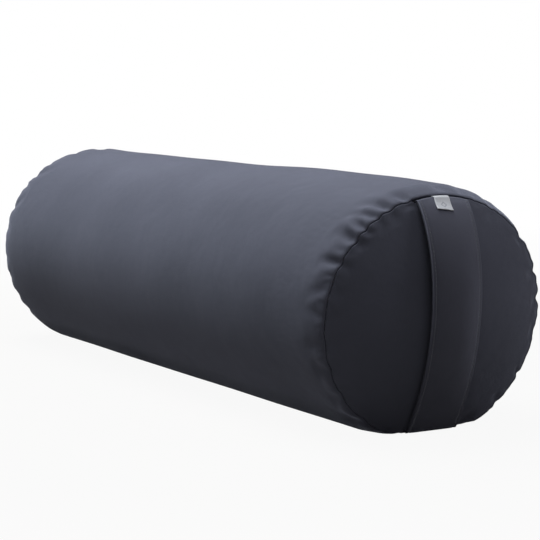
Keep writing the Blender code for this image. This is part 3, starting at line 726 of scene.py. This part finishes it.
def label_material(name):
    """Pale satin label with the darker outline of a lozenge."""
    made, tree, shader = node_material(name)
    cloth = stored(tree, "cloth", "Vector")
    split = add_node(tree, "SeparateXYZ", {0: cloth})
    threads = thread_height(tree, cloth, SATIN_PITCH, 0.5)
    down = math_node(tree, "ABSOLUTE", math_node(tree, "SUBTRACT", split.outputs[0], LABEL_LENGTH * 0.5))
    across = math_node(tree, "ABSOLUTE", split.outputs[1])
    lozenge = math_node(tree, "ADD", down, across)
    outer = map_range(tree, lozenge, *LOZENGE_OUTER, 1, 0)
    inner = map_range(tree, lozenge, *LOZENGE_INNER, 0, 1)
    mark = math_node(tree, "MULTIPLY", math_node(tree, "MULTIPLY", outer, inner), 0.85)
    base = mix_color(tree, mark, LABEL_PALE, LABEL_MARK)
    feed(tree, shader, {"Base Color": base, "Roughness": 0.45, "Sheen Weight": 0.3})
    add_bump(tree, shader, threads, 0.4, 0.00006)
    return made


def fibre_material(name, color):
    made, tree, shader = node_material(name)
    tufts = noise(tree, object_place(tree), 260, 8, 0.7)
    base = mix_color(tree, tufts, shade(color, 0.8), shade(color))
    feed(tree, shader, {"Base Color": base, "Roughness": 0.95})
    add_bump(tree, shader, tufts, 0.8, 0.002)
    return made


finishes = {
    "cover": cloth_material("cover_cotton", COVER_COLOR, COTTON_PITCH),
    "strap": cloth_material("strap_cotton", STRAP_COLOR, COTTON_PITCH),
    "thread": thread_material("sewing_thread", THREAD_COLOR),
    "label": label_material("label_satin"),
    "tape": cloth_material("zip_tape_weave", TAPE_COLOR, TAPE_PITCH, 0.8, 0.2, False),
    "plastic": plastic_material("zip_teeth_plastic", TEETH_COLOR),
    "enamel": enamel_material("zip_enamel", ENAMEL_COLOR),
    "calico": cloth_material("pillow_calico", CALICO_COLOR, CALICO_PITCH, 0.85, 0.1, False),
    "fibre": fibre_material("pillow_fibre", FIBRE_COLOR),
}


# Cloth simulation: the panels are cut larger than their place and filled out by the stuffing

def spaced_apart(values, least):
    """Indices of rising values that lie at least this far apart, with the first and the last."""
    kept = [0]
    for i in range(1, len(values) - 1):
        if values[i] - values[kept[-1]] >= least and values[-1] - values[i] >= least:
            kept.append(i)
    return np.array(kept + [len(values) - 1])


def settle_cloth(points, cut, held, wrap):
    """Moves of a sheet's points as it is filled out from the size that it was cut to."""
    faces = grid_faces(*points.shape[:2], wrap)
    sheet = new_mesh("cloth_trial", points.reshape(-1, 3), faces, finishes["cover"])
    face_outwards(sheet)
    sheet.shape_key_add(name="Basis")
    sheet.shape_key_add(name="cut").data.foreach_set("co", cut.ravel())
    sheet.vertex_groups.new(name="held").add(np.flatnonzero(held).tolist(), 1, "REPLACE")
    cloth = sheet.modifiers.new("cloth", "CLOTH")
    for key, value in CLOTH_SETTINGS.items():
        setattr(cloth.settings, key, value)
    cloth.settings.rest_shape_key = sheet.data.shape_keys.key_blocks["cut"]
    cloth.settings.effector_weights.gravity = 0
    cloth.collision_settings.use_collision = False
    scene = bpy.context.scene
    for number in range(1, CLOTH_FRAMES + 1):
        scene.frame_set(number)
    moves = mesh_points(evaluated(sheet).data).reshape(points.shape) - points
    bpy.data.objects.remove(sheet)
    scene.frame_set(1)
    size = np.linalg.norm(moves, axis=-1, keepdims=True)
    return moves * np.minimum(1, CLOTH_CAP / np.maximum(size, 1e-9))


def spread_moves(moves, rows, columns, shape):
    """Moves of a coarse grid carried over to every row and column of the fine one."""
    wide = np.array([interpolated(np.arange(shape[1]), columns, row) for row in moves])
    inside = np.arange(rows[0], rows[-1] + 1)
    full = np.zeros((*shape, 3))
    full[inside] = interpolated(inside, rows, wide).reshape(-1, *wide.shape[1:])
    return full


def band_moves(points, away, band, width, columns, ease, wrap):
    """How the cloth beside a rim seam moves. It is cut wider than its place, as a gathered edge is."""
    band = band[away[band] <= width]
    rising = band if away[band[-1]] > away[band[0]] else band[::-1]
    rows = rising[spaced_apart(away[rising], CLOTH_CELL)]
    coarse = points[np.ix_(rows, columns)]
    inner = coarse[-1]
    wider = 1 + ease * (1 - smoothstep(away[rows], EASE_START, away[rows[-1]] * EASE_SHARE))
    cut = coarse.copy()
    held = np.zeros(coarse.shape[:2], bool)
    held[[0, -2, -1]] = True
    if not wrap:
        cut[..., 0] = inner[:, 0] + np.sign(inner[:, 0]) * (away[rows[-1]] - away[rows])[:, None]
        cut[..., 1:] = inner[:, 1:]
        held[:, [0, 1, -2, -1]] = True
    cut[..., 1:] = between(np.array((0, CENTRE_HEIGHT)), cut[..., 1:], wider[:, None, None])
    moves = settle_cloth(coarse, cut, held, wrap)
    if wrap:
        columns = np.append(columns, columns[-1] + columns[1] - columns[0])
        moves = np.concatenate((moves, moves[:, :1]), axis=1)
    order = np.argsort(rows)
    return spread_moves(moves[order], rows[order], columns, points.shape[:2])


# Cover

def body_places():
    """Places of the body panel's rings along the roll, closer near the rims and the zip's ends."""
    near_rim = HALF_LENGTH - np.concatenate([np.linspace(*rings) for rings in RIM_RINGS])
    slot_ends = np.concatenate((
        SLOT_LOW_END + np.linspace(-SLOT_MARGIN, SLOT_CLOSING, SLOT_END_RINGS),
        SLOT_HIGH_END + np.linspace(-SLOT_CLOSING, SLOT_MARGIN, SLOT_END_RINGS),
    ))
    places = np.sort(np.concatenate((near_rim, -near_rim, np.linspace(*MIDDLE_RINGS), slot_ends)))
    return places[np.concatenate(([True], np.diff(places) > LEAST_STEP))]


def slot_half_width(x):
    """Half the opening between the folded edges. They meet in a plain seam past the zip."""
    from_low = np.clip((x - SLOT_LOW_END) / SLOT_CLOSING, 0, 1)
    from_high = np.clip((SLOT_HIGH_END - x) / SLOT_CLOSING, 0, 1)
    return between(SEAM_CLOSED, SLOT_HALF_WIDTH, np.sqrt(from_low * from_high))


def hem_columns():
    """Columns of an edge turned under at the zip: arcs from its fold, and depths under the skin."""
    turns = np.linspace(math.pi, 0, HEM_STEPS)[:-1]
    hem_arc = np.concatenate(([HEM_TURN, HEM_TURN / 2], HEM_ROLL - HEM_ROLL * np.sin(turns)))
    hem_depth = np.concatenate(([2 * HEM_ROLL, 2 * HEM_ROLL], HEM_ROLL - HEM_ROLL * np.cos(turns)))
    return hem_arc, hem_depth


def rim_turn():
    """The body's cloth from just before the seam, over its crease and down the allowance."""
    corner = np.array((HALF_LENGTH, RIM_RADIUS))
    before = np.array((HALF_LENGTH - CREASE_ROUND, float(body_radius(HALF_LENGTH - CREASE_ROUND))))
    turn = rounded_corner(before, corner, corner + INWARDS, CREASE_ROUND, TURN_STEPS)
    return np.concatenate((turn, allowance(corner, ALLOWANCE_START, ALLOWANCE_END)))


def make_body_panel():
    """The long panel of the cover. It starts and ends at the zip, where its edges are turned under."""
    turn = rim_turn()
    x = body_places()
    near = np.stack((x, body_radius(x)), axis=1)
    profile = np.concatenate((turn[::-1] * (-1, 1), near, turn))
    place, radius = profile.T
    lengths = path_lengths(profile)
    seam_low = TAIL_STEPS + TURN_STEPS // 2
    seam_high = len(profile) - 1 - seam_low
    away_far = np.abs(lengths - lengths[seam_low])[:, None]
    away_near = np.abs(lengths[seam_high] - lengths)[:, None]

    hem_arc, hem_depth = hem_columns()
    roll = HEM_ROLL / BODY_RADIUS
    half = slot_half_width(place)[:, None] / BODY_RADIUS
    start = ZIP_ANGLE + half + roll
    span = math.tau - 2 * (half + roll)
    angle = start + span * np.linspace(0, 1, AROUND + 1)[None, :]
    low = start - roll + hem_arc[None, :] / BODY_RADIUS
    high = start + span + roll - hem_arc[None, ::-1] / BODY_RADIUS
    angles = np.concatenate((low, angle, high), axis=1)
    inset = np.concatenate((hem_depth, np.zeros(AROUND + 1), hem_depth[::-1]))[None, :]

    folds = fold_depth(1, away_near, angles) + fold_depth(-1, away_far, angles)
    strap_end = smoothstep(place, HALF_LENGTH - STRAP_HOLD_REACH, HALF_LENGTH)[:, None]
    zip_flat = smoothstep(np.abs(angle_between(angles, ZIP_ANGLE)) * BODY_RADIUS, *ZIP_FLAT)
    middle = np.abs(place)[:, None] < HALF_LENGTH - ZIP_FLAT_ENDS
    folds *= np.where(middle, zip_flat, 1) * (1 - strap_hold(angles) * strap_end)
    folds *= seam_share(np.minimum(away_far, away_near), 1)
    folds = eased_swells(folds, angles)
    free = np.maximum(body_radius(np.clip(place, -HALF_LENGTH, HALF_LENGTH)), radius)[:, None]
    depth = inset + folds + unevenness(place[:, None], angles) + free - radius[:, None]
    points = settled(place[:, None], free, depth, angles)

    columns = len(hem_arc) + np.arange(0, AROUND + 1, BODY_COLUMN_STEP)
    between_seams = np.arange(seam_low, seam_high + 1)
    for away in (away_far[:, 0], away_near[:, 0]):
        points += band_moves(points, away, between_seams, BODY_BAND, columns, BODY_EASE, False)
    points = above_ground(points).reshape(-1, 3)
    body = new_mesh("cover_body_cloth", points, grid_faces(*angles.shape), finishes["cover"])
    store_cloth_place(body, lengths[:, None], (angles - ZIP_ANGLE) * BODY_RADIUS)
    # The swells between the folds are painted paler: wear and a painted highlight
    store_wear_and_highlight(body, np.clip(-folds / BODY_SWELL, 0, 1) * SWELL_WEAR_AND_HIGHLIGHT)
    return body


def end_profile():
    """Profile of an end panel from inside the seam to its apex, as (x past the rim, radius)."""
    ratio = np.concatenate([np.linspace(*rings) for rings in END_RINGS])
    crown = np.stack((CROWN_HEIGHT * (1 - ratio ** 2), RIM_RADIUS * ratio), axis=1)
    corner = np.array((0.0, RIM_RADIUS))
    turn = rounded_corner(corner + INWARDS, corner, crown[0], END_CREASE_ROUND, END_TURN_STEPS)
    return np.concatenate((allowance(corner, ALLOWANCE_END, ALLOWANCE_START), turn, crown))


def seam_stack(side, angle):
    """How far an end panel lies from the body's allowance: wider where the strap and label are tucked in."""
    if side < 0:
        return np.full(np.shape(angle), LAYER_GAP)
    return between(LAYER_GAP, np.where(np.sin(angle) > 0, LABEL_STACK, STRAP_STACK), strap_hold(angle))


def make_end_panel(name, side):
    profile = end_profile()
    lengths = path_lengths(profile)
    seam_at = TAIL_STEPS + END_TURN_STEPS // 2
    away = np.abs(lengths - lengths[seam_at])[:, None]
    angles = (ZIP_ANGLE + np.linspace(0, math.tau, AROUND, endpoint=False))[None, :]
    normals = path_normals(profile)[:, None, :]
    normals = np.where(normals[..., :1] < 0, -normals, normals)
    folds = fold_depth(side, away, angles, END_REACH) * seam_share(away, END_SHARE)
    if side > 0:
        folds *= 1 - strap_hold(angles)
    folds = eased_swells(folds, angles)
    stack = seam_stack(side, angles) * (1 - smoothstep(away, *STACK_FADE))
    off_seam = smoothstep(away, SEAM_START, SEAM_REACH)
    off_seam[:seam_at] = 0
    x = profile[:, :1] + TO_END_PANEL[0] * stack - normals[..., 0] * off_seam * folds
    r = profile[:, 1:] + TO_END_PANEL[1] * stack - (1 - off_seam * (1 - normals[..., 1])) * folds
    slack = END_SLACK * np.sin(2 * angles + 0.8) * np.sin(math.pi * np.clip(r / RIM_RADIUS, 0, 1))
    points = settled(side * (HALF_LENGTH + x + slack), RIM_RADIUS, RIM_RADIUS - r, angles)
    inside = np.arange(seam_at, len(profile))
    columns = np.arange(0, AROUND, END_COLUMN_STEP)
    moves = band_moves(points, away[:, 0], inside, END_BAND, columns, END_EASE, True)
    if side > 0:
        moves *= smoothstep(np.abs(points[..., 1:2]) - STRAP_WIDTH / 2, *STRAP_SHELTER)
    points = above_ground(points + moves)
    rows, columns = points.shape[:2]
    apex = settled(side * (HALF_LENGTH + CROWN_HEIGHT), RIM_RADIUS, RIM_RADIUS, 0.0)
    flat = np.concatenate((points.reshape(-1, 3), apex.reshape(1, 3)))
    faces = grid_faces(rows, columns, True)
    last = (rows - 1) * columns
    faces += [(last + c, last + (c + 1) % columns, rows * columns) for c in range(columns)]
    panel = new_mesh(name, flat, faces, finishes["cover"])
    store_cloth_place(panel, flat[:, 2], flat[:, 1])
    # The swells between the folds are painted paler: wear and a painted highlight
    store_wear_and_highlight(panel, np.append(np.clip(-folds / END_SWELL, 0, 1) * SWELL_WEAR_AND_HIGHLIGHT, 0))
    face_outwards(panel)
    return panel


# Strap and label

def fold_path(stack, radius):
    """From inside the seam, over the end panel's edge, to the front, as (x past the rim, r - rim)."""
    centre = TO_END_PANEL * stack
    turns = np.linspace(math.pi / 2 + ALLOWANCE_SLOPE, STRAP_END_SLOPE, FOLD_STEPS)
    arc = centre + np.stack((np.cos(turns), np.sin(turns)), axis=1) * radius
    tuck = np.linspace(STRAP_TUCK, STRAP_TUCK / 3, TUCK_STEPS)
    return np.concatenate((arc[0] + INWARDS[None, :] * tuck[:, None], arc))


def at_near_end(x, radius, angle):
    """Points this far past the near rim, from their free places in the round of the end."""
    return settled(HALF_LENGTH + x, RIM_RADIUS, RIM_RADIUS - radius, angle)


def before_end(x, y, z):
    return at_near_end(x, np.hypot(y, z), np.arctan2(z, y))


def over_seam(path, y, half=1):
    """A band's points along its fold over the seam, at the top (1) or at the bottom (-1)."""
    radius = RIM_RADIUS + path[:, 1:]
    return at_near_end(path[:, :1], radius, half * np.arccos(np.clip(y / radius, -1, 1)))


def fold_end_height(path, y):
    """Height over the end's middle at which a fold over the seam ends, this far across."""
    return np.sqrt((RIM_RADIUS + path[-1, 1]) ** 2 - y ** 2)


def strap_middle(across):
    """The strap's middle surface: rows from its tuck at the top to its tuck at the bottom."""
    y = across / SPREAD
    top = fold_path(LABEL_STACK, LAYER_GAP + STRAP_THICKNESS / 2)
    bottom = fold_path(STRAP_STACK, LAYER_GAP + STRAP_THICKNESS / 2)
    rise = CROWN_HEIGHT + HAND_GAP + STRAP_THICKNESS / 2 - (top[-1, 0] + bottom[-1, 0]) / 2
    share = np.linspace(0, 1, STRAP_ROWS + 2)[1:-1, None]
    fuller_up = share ** STRAP_BOW_PLACE
    bow = rise * (1 - (2 * fuller_up - 1) ** 2) * (1 - (y / RIM_RADIUS) ** 2)
    edge = (2 * y / STRAP_WIDTH) ** 2
    cup = np.where(y < 0, STRAP_CUP[0] * edge, STRAP_CUP[1] * edge * (1.5 - 0.5 * edge))
    bow -= cup * np.sin(math.pi * fuller_up)
    x = between(top[-1, 0], bottom[-1, 0], share) + bow
    middle = before_end(x, y, between(fold_end_height(top, y), -fold_end_height(bottom, y), share))
    return np.concatenate((over_seam(top, y), middle, over_seam(bottom, y, -1)[::-1]))


def band_section(width, thickness, columns, edge_steps, groove=None):
    """Section of a flat band with round edges, as (across, height) all the way round.

    With a groove (opening, depth), two folded layers lie on each other and part a little at the edges.
    """
    half = thickness / 2
    fold = (half - groove[0] / 2) / 2 if groove else half
    turns = np.linspace(math.pi / 2, -math.pi / 2, edge_steps)
    edge = width / 2 - fold
    right = np.stack((edge + fold * np.cos(turns), half - fold + fold * np.sin(turns)), axis=1)
    if groove:
        right = np.concatenate((right, [(width / 2 - groove[1], 0)], right[::-1] * (1, -1)))
    flat = np.linspace(-width / 2 + fold, edge, columns)
    top = np.stack((flat, np.full(columns, half)), axis=1)
    return np.concatenate((top[:-1], right, (top * (1, -1))[::-1][1:-1], right[::-1] * (-1, 1)))


def place_band(middle_of, section):
    """Sweeps a band's section over its middle surface. Its normals are blended between evenly set places."""
    across, height = section.T
    order = np.argsort(across, kind="stable")
    middle = middle_of(across[order][None, :])
    back = np.argsort(order)
    steps = NORMAL_PLACES - 1
    normal_grid = surface_normals(middle_of(np.linspace(across.min(), across.max(), NORMAL_PLACES)[None, :]))
    spots = (across - across.min()) / (across.max() - across.min()) * steps
    lower = np.clip(np.floor(spots).astype(int), 0, steps - 1)
    part = (spots - lower)[None, :, None]
    normals = normal_grid[:, lower] * (1 - part) + normal_grid[:, lower + 1] * part
    return middle[:, back] + normals * height[None, :, None]


def close_band(name, points, finish, cloth_across, first_row=0):
    """A swept band as a piece. Its cloth is measured along from the given row."""
    band = new_mesh(name, points.reshape(-1, 3), tube_faces(*points.shape[:2]), finish)
    lengths = path_lengths(points[:, 0])
    store_cloth_place(band, (lengths - lengths[first_row])[:, None], cloth_across[None, :])
    face_outwards(band)
    return band


def make_strap():
    """The strap is thinner along the stitching near its edges, and plump at the edges."""
    section = band_section(STRAP_WIDTH, STRAP_THICKNESS, *STRAP_COLUMNS, STRAP_GROOVE)
    across = np.abs(section[:, 0])
    section[:, 1] *= 1 - STITCH_DENT * bell(across - STITCH_LINE, STITCH_DENT_WIDTH)
    points = above_ground(place_band(strap_middle, section))
    strap = close_band("carrying_strap", points, finishes["strap"], section[:, 0])
    edge = np.exp(-((STRAP_WIDTH / 2 - across) / EDGE_RUB_WIDTH))
    store_wear_and_highlight(strap, np.broadcast_to(edge * EDGE_RUB, points.shape[:2]))
    return strap


def stitches(name, line, normals, radius):
    """A row of lockstitches laid on a line: one low capsule of thread for each."""
    lengths = path_lengths(line)
    count = int(lengths[-1] / STITCH_PITCH)
    points = []
    faces = []
    ring = [(math.cos(a), math.sin(a)) for a in np.linspace(0, math.tau, THREAD_SIDES, endpoint=False)]
    for i in range(count):
        middle = (i + 0.5) * lengths[-1] / count
        faces += tube_faces(len(STITCH_STATIONS), THREAD_SIDES, len(points))
        for t, swell, lift in STITCH_STATIONS:
            at = middle + t * STITCH_LENGTH
            ahead = interpolated(at + STITCH_PROBE, lengths, line)
            behind = interpolated(at - STITCH_PROBE, lengths, line)
            normal = interpolated(at, lengths, normals)
            normal /= np.linalg.norm(normal)
            tangent = (ahead - behind) / max(1e-9, np.linalg.norm(ahead - behind))
            side = np.cross(normal, tangent)
            spot = interpolated(at, lengths, line) + normal * lift * radius
            points += [spot + (side * c + normal * s) * (swell * radius) for c, s in ring]
    made = new_mesh(name, points, faces, finishes["thread"])
    face_outwards(made)
    return made


def make_strap_stitches():
    pieces = []
    for side, name in ((-1, "left"), (1, "right")):
        at = side * STITCH_LINE
        grid = strap_middle(np.array([[at - SIDE_PROBE, at, at + SIDE_PROBE]]))
        normals = surface_normals(grid)[:, 1]
        line = grid[:, 1] + normals * STRAP_THICKNESS / 2 * STITCH_SEAT
        shown = slice(FOLD_END, -FOLD_END)
        pieces.append(stitches(f"strap_stitches_{name}", line[shown], normals[shown], STRAP_THREAD))
    return pieces


def label_middle(across):
    """A loop label that hangs from the seam over the strap and curls a little to the front."""
    y = (across + LABEL_OFF) / SPREAD
    path = fold_path(LABEL_STACK, 2 * LAYER_GAP + STRAP_THICKNESS + LABEL_THICKNESS / 2)
    heading = -(math.pi / 2) + STRAP_END_SLOPE
    x, r = path[-1]
    hanging = []
    step = LABEL_LENGTH / LABEL_STEPS
    for i in range(LABEL_STEPS):
        curl = LABEL_CURL * smoothstep((i + 1) / LABEL_STEPS)
        x += math.cos(heading + curl) * step
        r += math.sin(heading + curl) * step
        hanging.append((x, r))
    hanging = np.array(hanging)
    drop = (hanging[:, 1] - path[-1, 1])[:, None]
    lean = LABEL_TILT * across * drop / drop[-1]
    lower = before_end(
        hanging[:, :1] + lean * math.tan(STRAP_END_SLOPE),
        y + LABEL_TILT * drop,
        fold_end_height(path, y) + drop - lean,
    )
    return np.concatenate((over_seam(path, y), lower))


def make_label():
    section = band_section(LABEL_WIDTH, LABEL_THICKNESS, *LABEL_COLUMNS)
    points = place_band(label_middle, section)
    return close_band("side_label", points, finishes["label"], section[:, 0], FOLD_END)


# Zip

def copy_of_node(node, name, finish, bevel=0.0, shape=None):
    """A solid's own shape as a piece of its own, with its edges broken."""
    source = frame["nodes"][node]
    mesh = source.data.copy()
    mesh.transform(source.matrix_world)
    piece = add_object(name, mesh)
    mesh.materials.clear()
    mesh.materials.append(finish)
    work = bmesh.new()
    work.from_mesh(mesh)
    bmesh.ops.remove_doubles(work, verts=work.verts, dist=1e-6)
    bmesh.ops.dissolve_limit(work, angle_limit=math.radians(1), verts=work.verts, edges=work.edges)
    if bevel:
        sharp = [e for e in work.edges if len(e.link_faces) == 2 and e.calc_face_angle(0) > SHARP_ANGLE]
        bmesh.ops.bevel(
            work, geom=sharp, offset=bevel, segments=2, profile=0.6, affect="EDGES", clamp_overlap=True
        )
    work.to_mesh(mesh)
    work.free()
    if shape:
        shape(piece)
        mesh = piece.data
    mesh.shade_smooth()
    mesh.set_sharp_from_angle(angle=SHADED_ANGLE)
    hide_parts(node)
    return piece


def make_zip_half(name):
    """The half of the zip stays shut at the bottom stop and parts more towards the top."""
    pieces = [
        copy_of_node(f"zip_teeth_{name}", f"teeth_row_{name}", finishes["plastic"], TEETH_EDGE),
        copy_of_node(f"zip_tape_{name}", f"woven_tape_{name}", finishes["tape"]),
        copy_of_node(f"zip_top_stop_{name}", f"top_stop_{name}", finishes["enamel"], METAL_EDGE),
    ]
    points = mesh_points(pieces[1].data)
    store_cloth_place(pieces[1], points[:, 0], points[:, 2])
    for piece in pieces:
        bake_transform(piece)


def joint_of(name):
    return next(joint for joint in frame["joints"] if joint["name"] == name)


def cut_away(piece, cutter):
    cut = piece.modifiers.new("cut", "BOOLEAN")
    cut.operation = "DIFFERENCE"
    cut.solver = "EXACT"
    cut.object = cutter
    shaped = bpy.data.meshes.new_from_object(evaluated(piece))
    piece.modifiers.clear()
    piece.data = shaped
    bpy.data.objects.remove(cutter)


def open_mouth(slider):
    """Clears the sides of the slider's nose for the parted rows, down to a slim post between its plates."""
    swing = joint_of("zip_pull_swing")
    across = Vector(swing["axis"])
    outward = across.cross(Vector((1, 0, 0)))
    outward *= math.copysign(1, outward.y)
    centre = Vector(swing["pos_m"]) - outward * BRIDGE_AXIS_HEIGHT
    waist = SLIDER_NOSE - SLIDER_MOUTH
    post_start = SLIDER_NOSE - SLIDER_POST[0]
    beyond = SLIDER_NOSE + SLIDER_ROOM
    post = SLIDER_POST[1]
    wide = MOUTH_WIDTH / 2
    half = [(waist, wide), (beyond, wide), (beyond, post), (post_start, post)]
    outline = [(x, -y) for x, y in half] + half[::-1]
    points = [
        Vector((x, centre.y, centre.z)) + across * y + outward * height
        for height in (-MOUTH_HEIGHT / 2, MOUTH_HEIGHT / 2) for x, y in outline
    ]
    mouth = new_mesh("mouth_cutter", points, tube_faces(2, len(outline)), finishes["enamel"], False)
    face_outwards(mouth)
    cut_away(slider, mouth)


def make_zip():
    make_zip_half("upper")
    make_zip_half("lower")
    for node, name, body in (
        ("zip_slider", "slider_body", "slider"),
        ("zip_pull", "pull_tab_plate", "pull_tab"),
        ("zip_bottom_stop", "bottom_stop", "cover"),
    ):
        shape = open_mouth if body == "slider" else None
        piece = copy_of_node(node, name, finishes["enamel"], METAL_EDGE, shape)
        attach(piece, body)


def make_zip_stitches():
    """Lockstitches along the cover's folded edges, beside the slot."""
    made = []
    for side, name in ((-1, "lower"), (1, "upper")):
        x = np.linspace(*ZIP_STITCH_LINE)
        angle = ZIP_ANGLE + side * (SLOT_HALF_WIDTH + STITCH_INSET) / BODY_RADIUS
        line = settled(x, BODY_RADIUS, unevenness(x, np.full(x.shape, angle)), angle)
        normals = np.tile((0, math.cos(angle), math.sin(angle)), (len(x), 1))
        made.append(stitches(f"zip_stitches_{name}", line, normals, ZIP_THREAD))
    return made


# Pillow

def make_pillow():
    """The calico bag that shows through the zip when it is open. It gives way under the cover's folds."""
    for node, name in (
        ("liner_tube", "pillow_bag"),
        ("liner_end_near", "pillow_end_near"),
        ("liner_end_far", "pillow_end_far"),
    ):
        piece = copy_of_node(node, name, finishes["calico"])
        points = mesh_points(piece.data)
        radius = np.hypot(points[:, 1], points[:, 2] - CENTRE_HEIGHT)
        fade_start, fade_end = (HALF_LENGTH - from_rim for from_rim in PILLOW_GIVE_FADE)
        near_rim = smoothstep(np.abs(points[:, 0]), fade_start, fade_end)
        give = between(*PILLOW_GIVE, near_rim)
        share = 1 - np.minimum(give, radius) / np.maximum(radius, give)
        points[:, 1] *= share
        points[:, 2] = between(CENTRE_HEIGHT, points[:, 2], share)
        piece.data.vertices.foreach_set("co", points.ravel())
        around = np.arctan2(points[:, 2] - CENTRE_HEIGHT, points[:, 1]) * BODY_RADIUS
        store_cloth_place(piece, points[:, 0], around)
        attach(piece, "cover")


def dress_filling():
    node = frame["nodes"]["filling"]
    node.data.materials.clear()
    node.data.materials.append(finishes["fibre"])


# Stage

def floor_material(name):
    """Mid grey for the lamps, and near white where the camera or a reflection sees it."""
    made, tree, shader = node_material(name)
    feed(tree, shader, {"Base Color": FLOOR_COLOR, "Roughness": 0.9})
    seen = seen_ray(tree)
    glow = add_node(tree, "Emission", {"Color": WHITE, "Strength": 1.0})
    far = add_node(tree, "VectorMath", {0: object_place(tree)}, operation="LENGTH")
    shown = map_range(tree, far.outputs["Value"], *FLOOR_FADE, FLOOR_SHOWN, 1.0)
    factor = math_node(tree, "MULTIPLY", seen, shown)
    mix_shaders(tree, factor, shader.outputs[0], glow.outputs[0], "Material Output")
    return made


def make_stage():
    bpy.ops.mesh.primitive_plane_add(size=FLOOR_SIDE, location=(0, 0, 0))
    floor = bpy.context.object
    floor.name = "studio_floor"
    floor.data.materials.append(floor_material("studio_paper"))


def make_world():
    world = bpy.data.worlds.new("studio")
    bpy.context.scene.world = world
    world.use_nodes = True
    tree = world.node_tree
    background = tree.nodes["Background"]
    feed(tree, background, {"Color": SKY_COLOR, "Strength": SKY_STRENGTH})
    white = add_node(tree, "Background", {"Color": WHITE, "Strength": 1.0})
    mix_shaders(tree, seen_ray(tree), background.outputs[0], white.outputs[0], "World Output")


def make_lamps():
    for name, place, side, power, color in LAMPS:
        data = bpy.data.lights.new(name, "AREA")
        data.shape = "RECTANGLE"
        data.size = data.size_y = side
        data.energy = power
        data.color = color
        lamp = add_object(name, data)
        lamp.location = place
        lamp.rotation_mode = "QUATERNION"
        lamp.rotation_quaternion = (CENTRE - Vector(place)).to_track_quat("-Z", "Y")


def make_camera():
    data = bpy.data.cameras.new("photo_camera")
    data.sensor_width = SENSOR
    data.lens = CAMERA_FOCAL_PIXELS / IMAGE_PIXELS * SENSOR
    data.clip_start, data.clip_end = CAMERA_CLIP
    camera = add_object("photo_camera", data)
    a, e = CAMERA_AZIMUTH, CAMERA_ELEVATION
    back = Vector((math.sin(a) * math.cos(e), -math.cos(a) * math.cos(e), math.sin(e)))
    right = Vector((math.cos(a), math.sin(a), 0))
    up = back.cross(right)
    per_pixel = CAMERA_DISTANCE / CAMERA_FOCAL_PIXELS
    place = CENTRE + back * CAMERA_DISTANCE
    place -= right * CENTRE_PIXEL[0] * per_pixel
    place += up * CENTRE_PIXEL[1] * per_pixel
    camera.matrix_world = Matrix((right, up, back)).transposed().to_4x4()
    camera.location = place
    bpy.context.scene.camera = camera


# The whole scene

def dress_cover():
    body = make_body_panel()
    near = make_end_panel("end_panel_near", 1)
    far = make_end_panel("end_panel_far", -1)
    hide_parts("cover_body")
    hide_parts("cover_end_handle")
    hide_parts("cover_end_plain")
    for piece in (body, near, far):
        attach(piece, "cover")
    for piece in make_zip_stitches():
        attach(piece, "cover")


def dress_strap():
    strap = make_strap()
    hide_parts("handle_strap")
    for piece in (strap, *make_strap_stitches()):
        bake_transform(piece)


def dress_label():
    label = make_label()
    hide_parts("label_tag")
    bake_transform(label)


def main():
    bpy.context.scene.view_settings.view_transform = "Standard"
    dress_cover()
    dress_strap()
    dress_label()
    make_zip()
    make_pillow()
    dress_filling()
    make_stage()
    make_world()
    make_lamps()
    make_camera()


main()
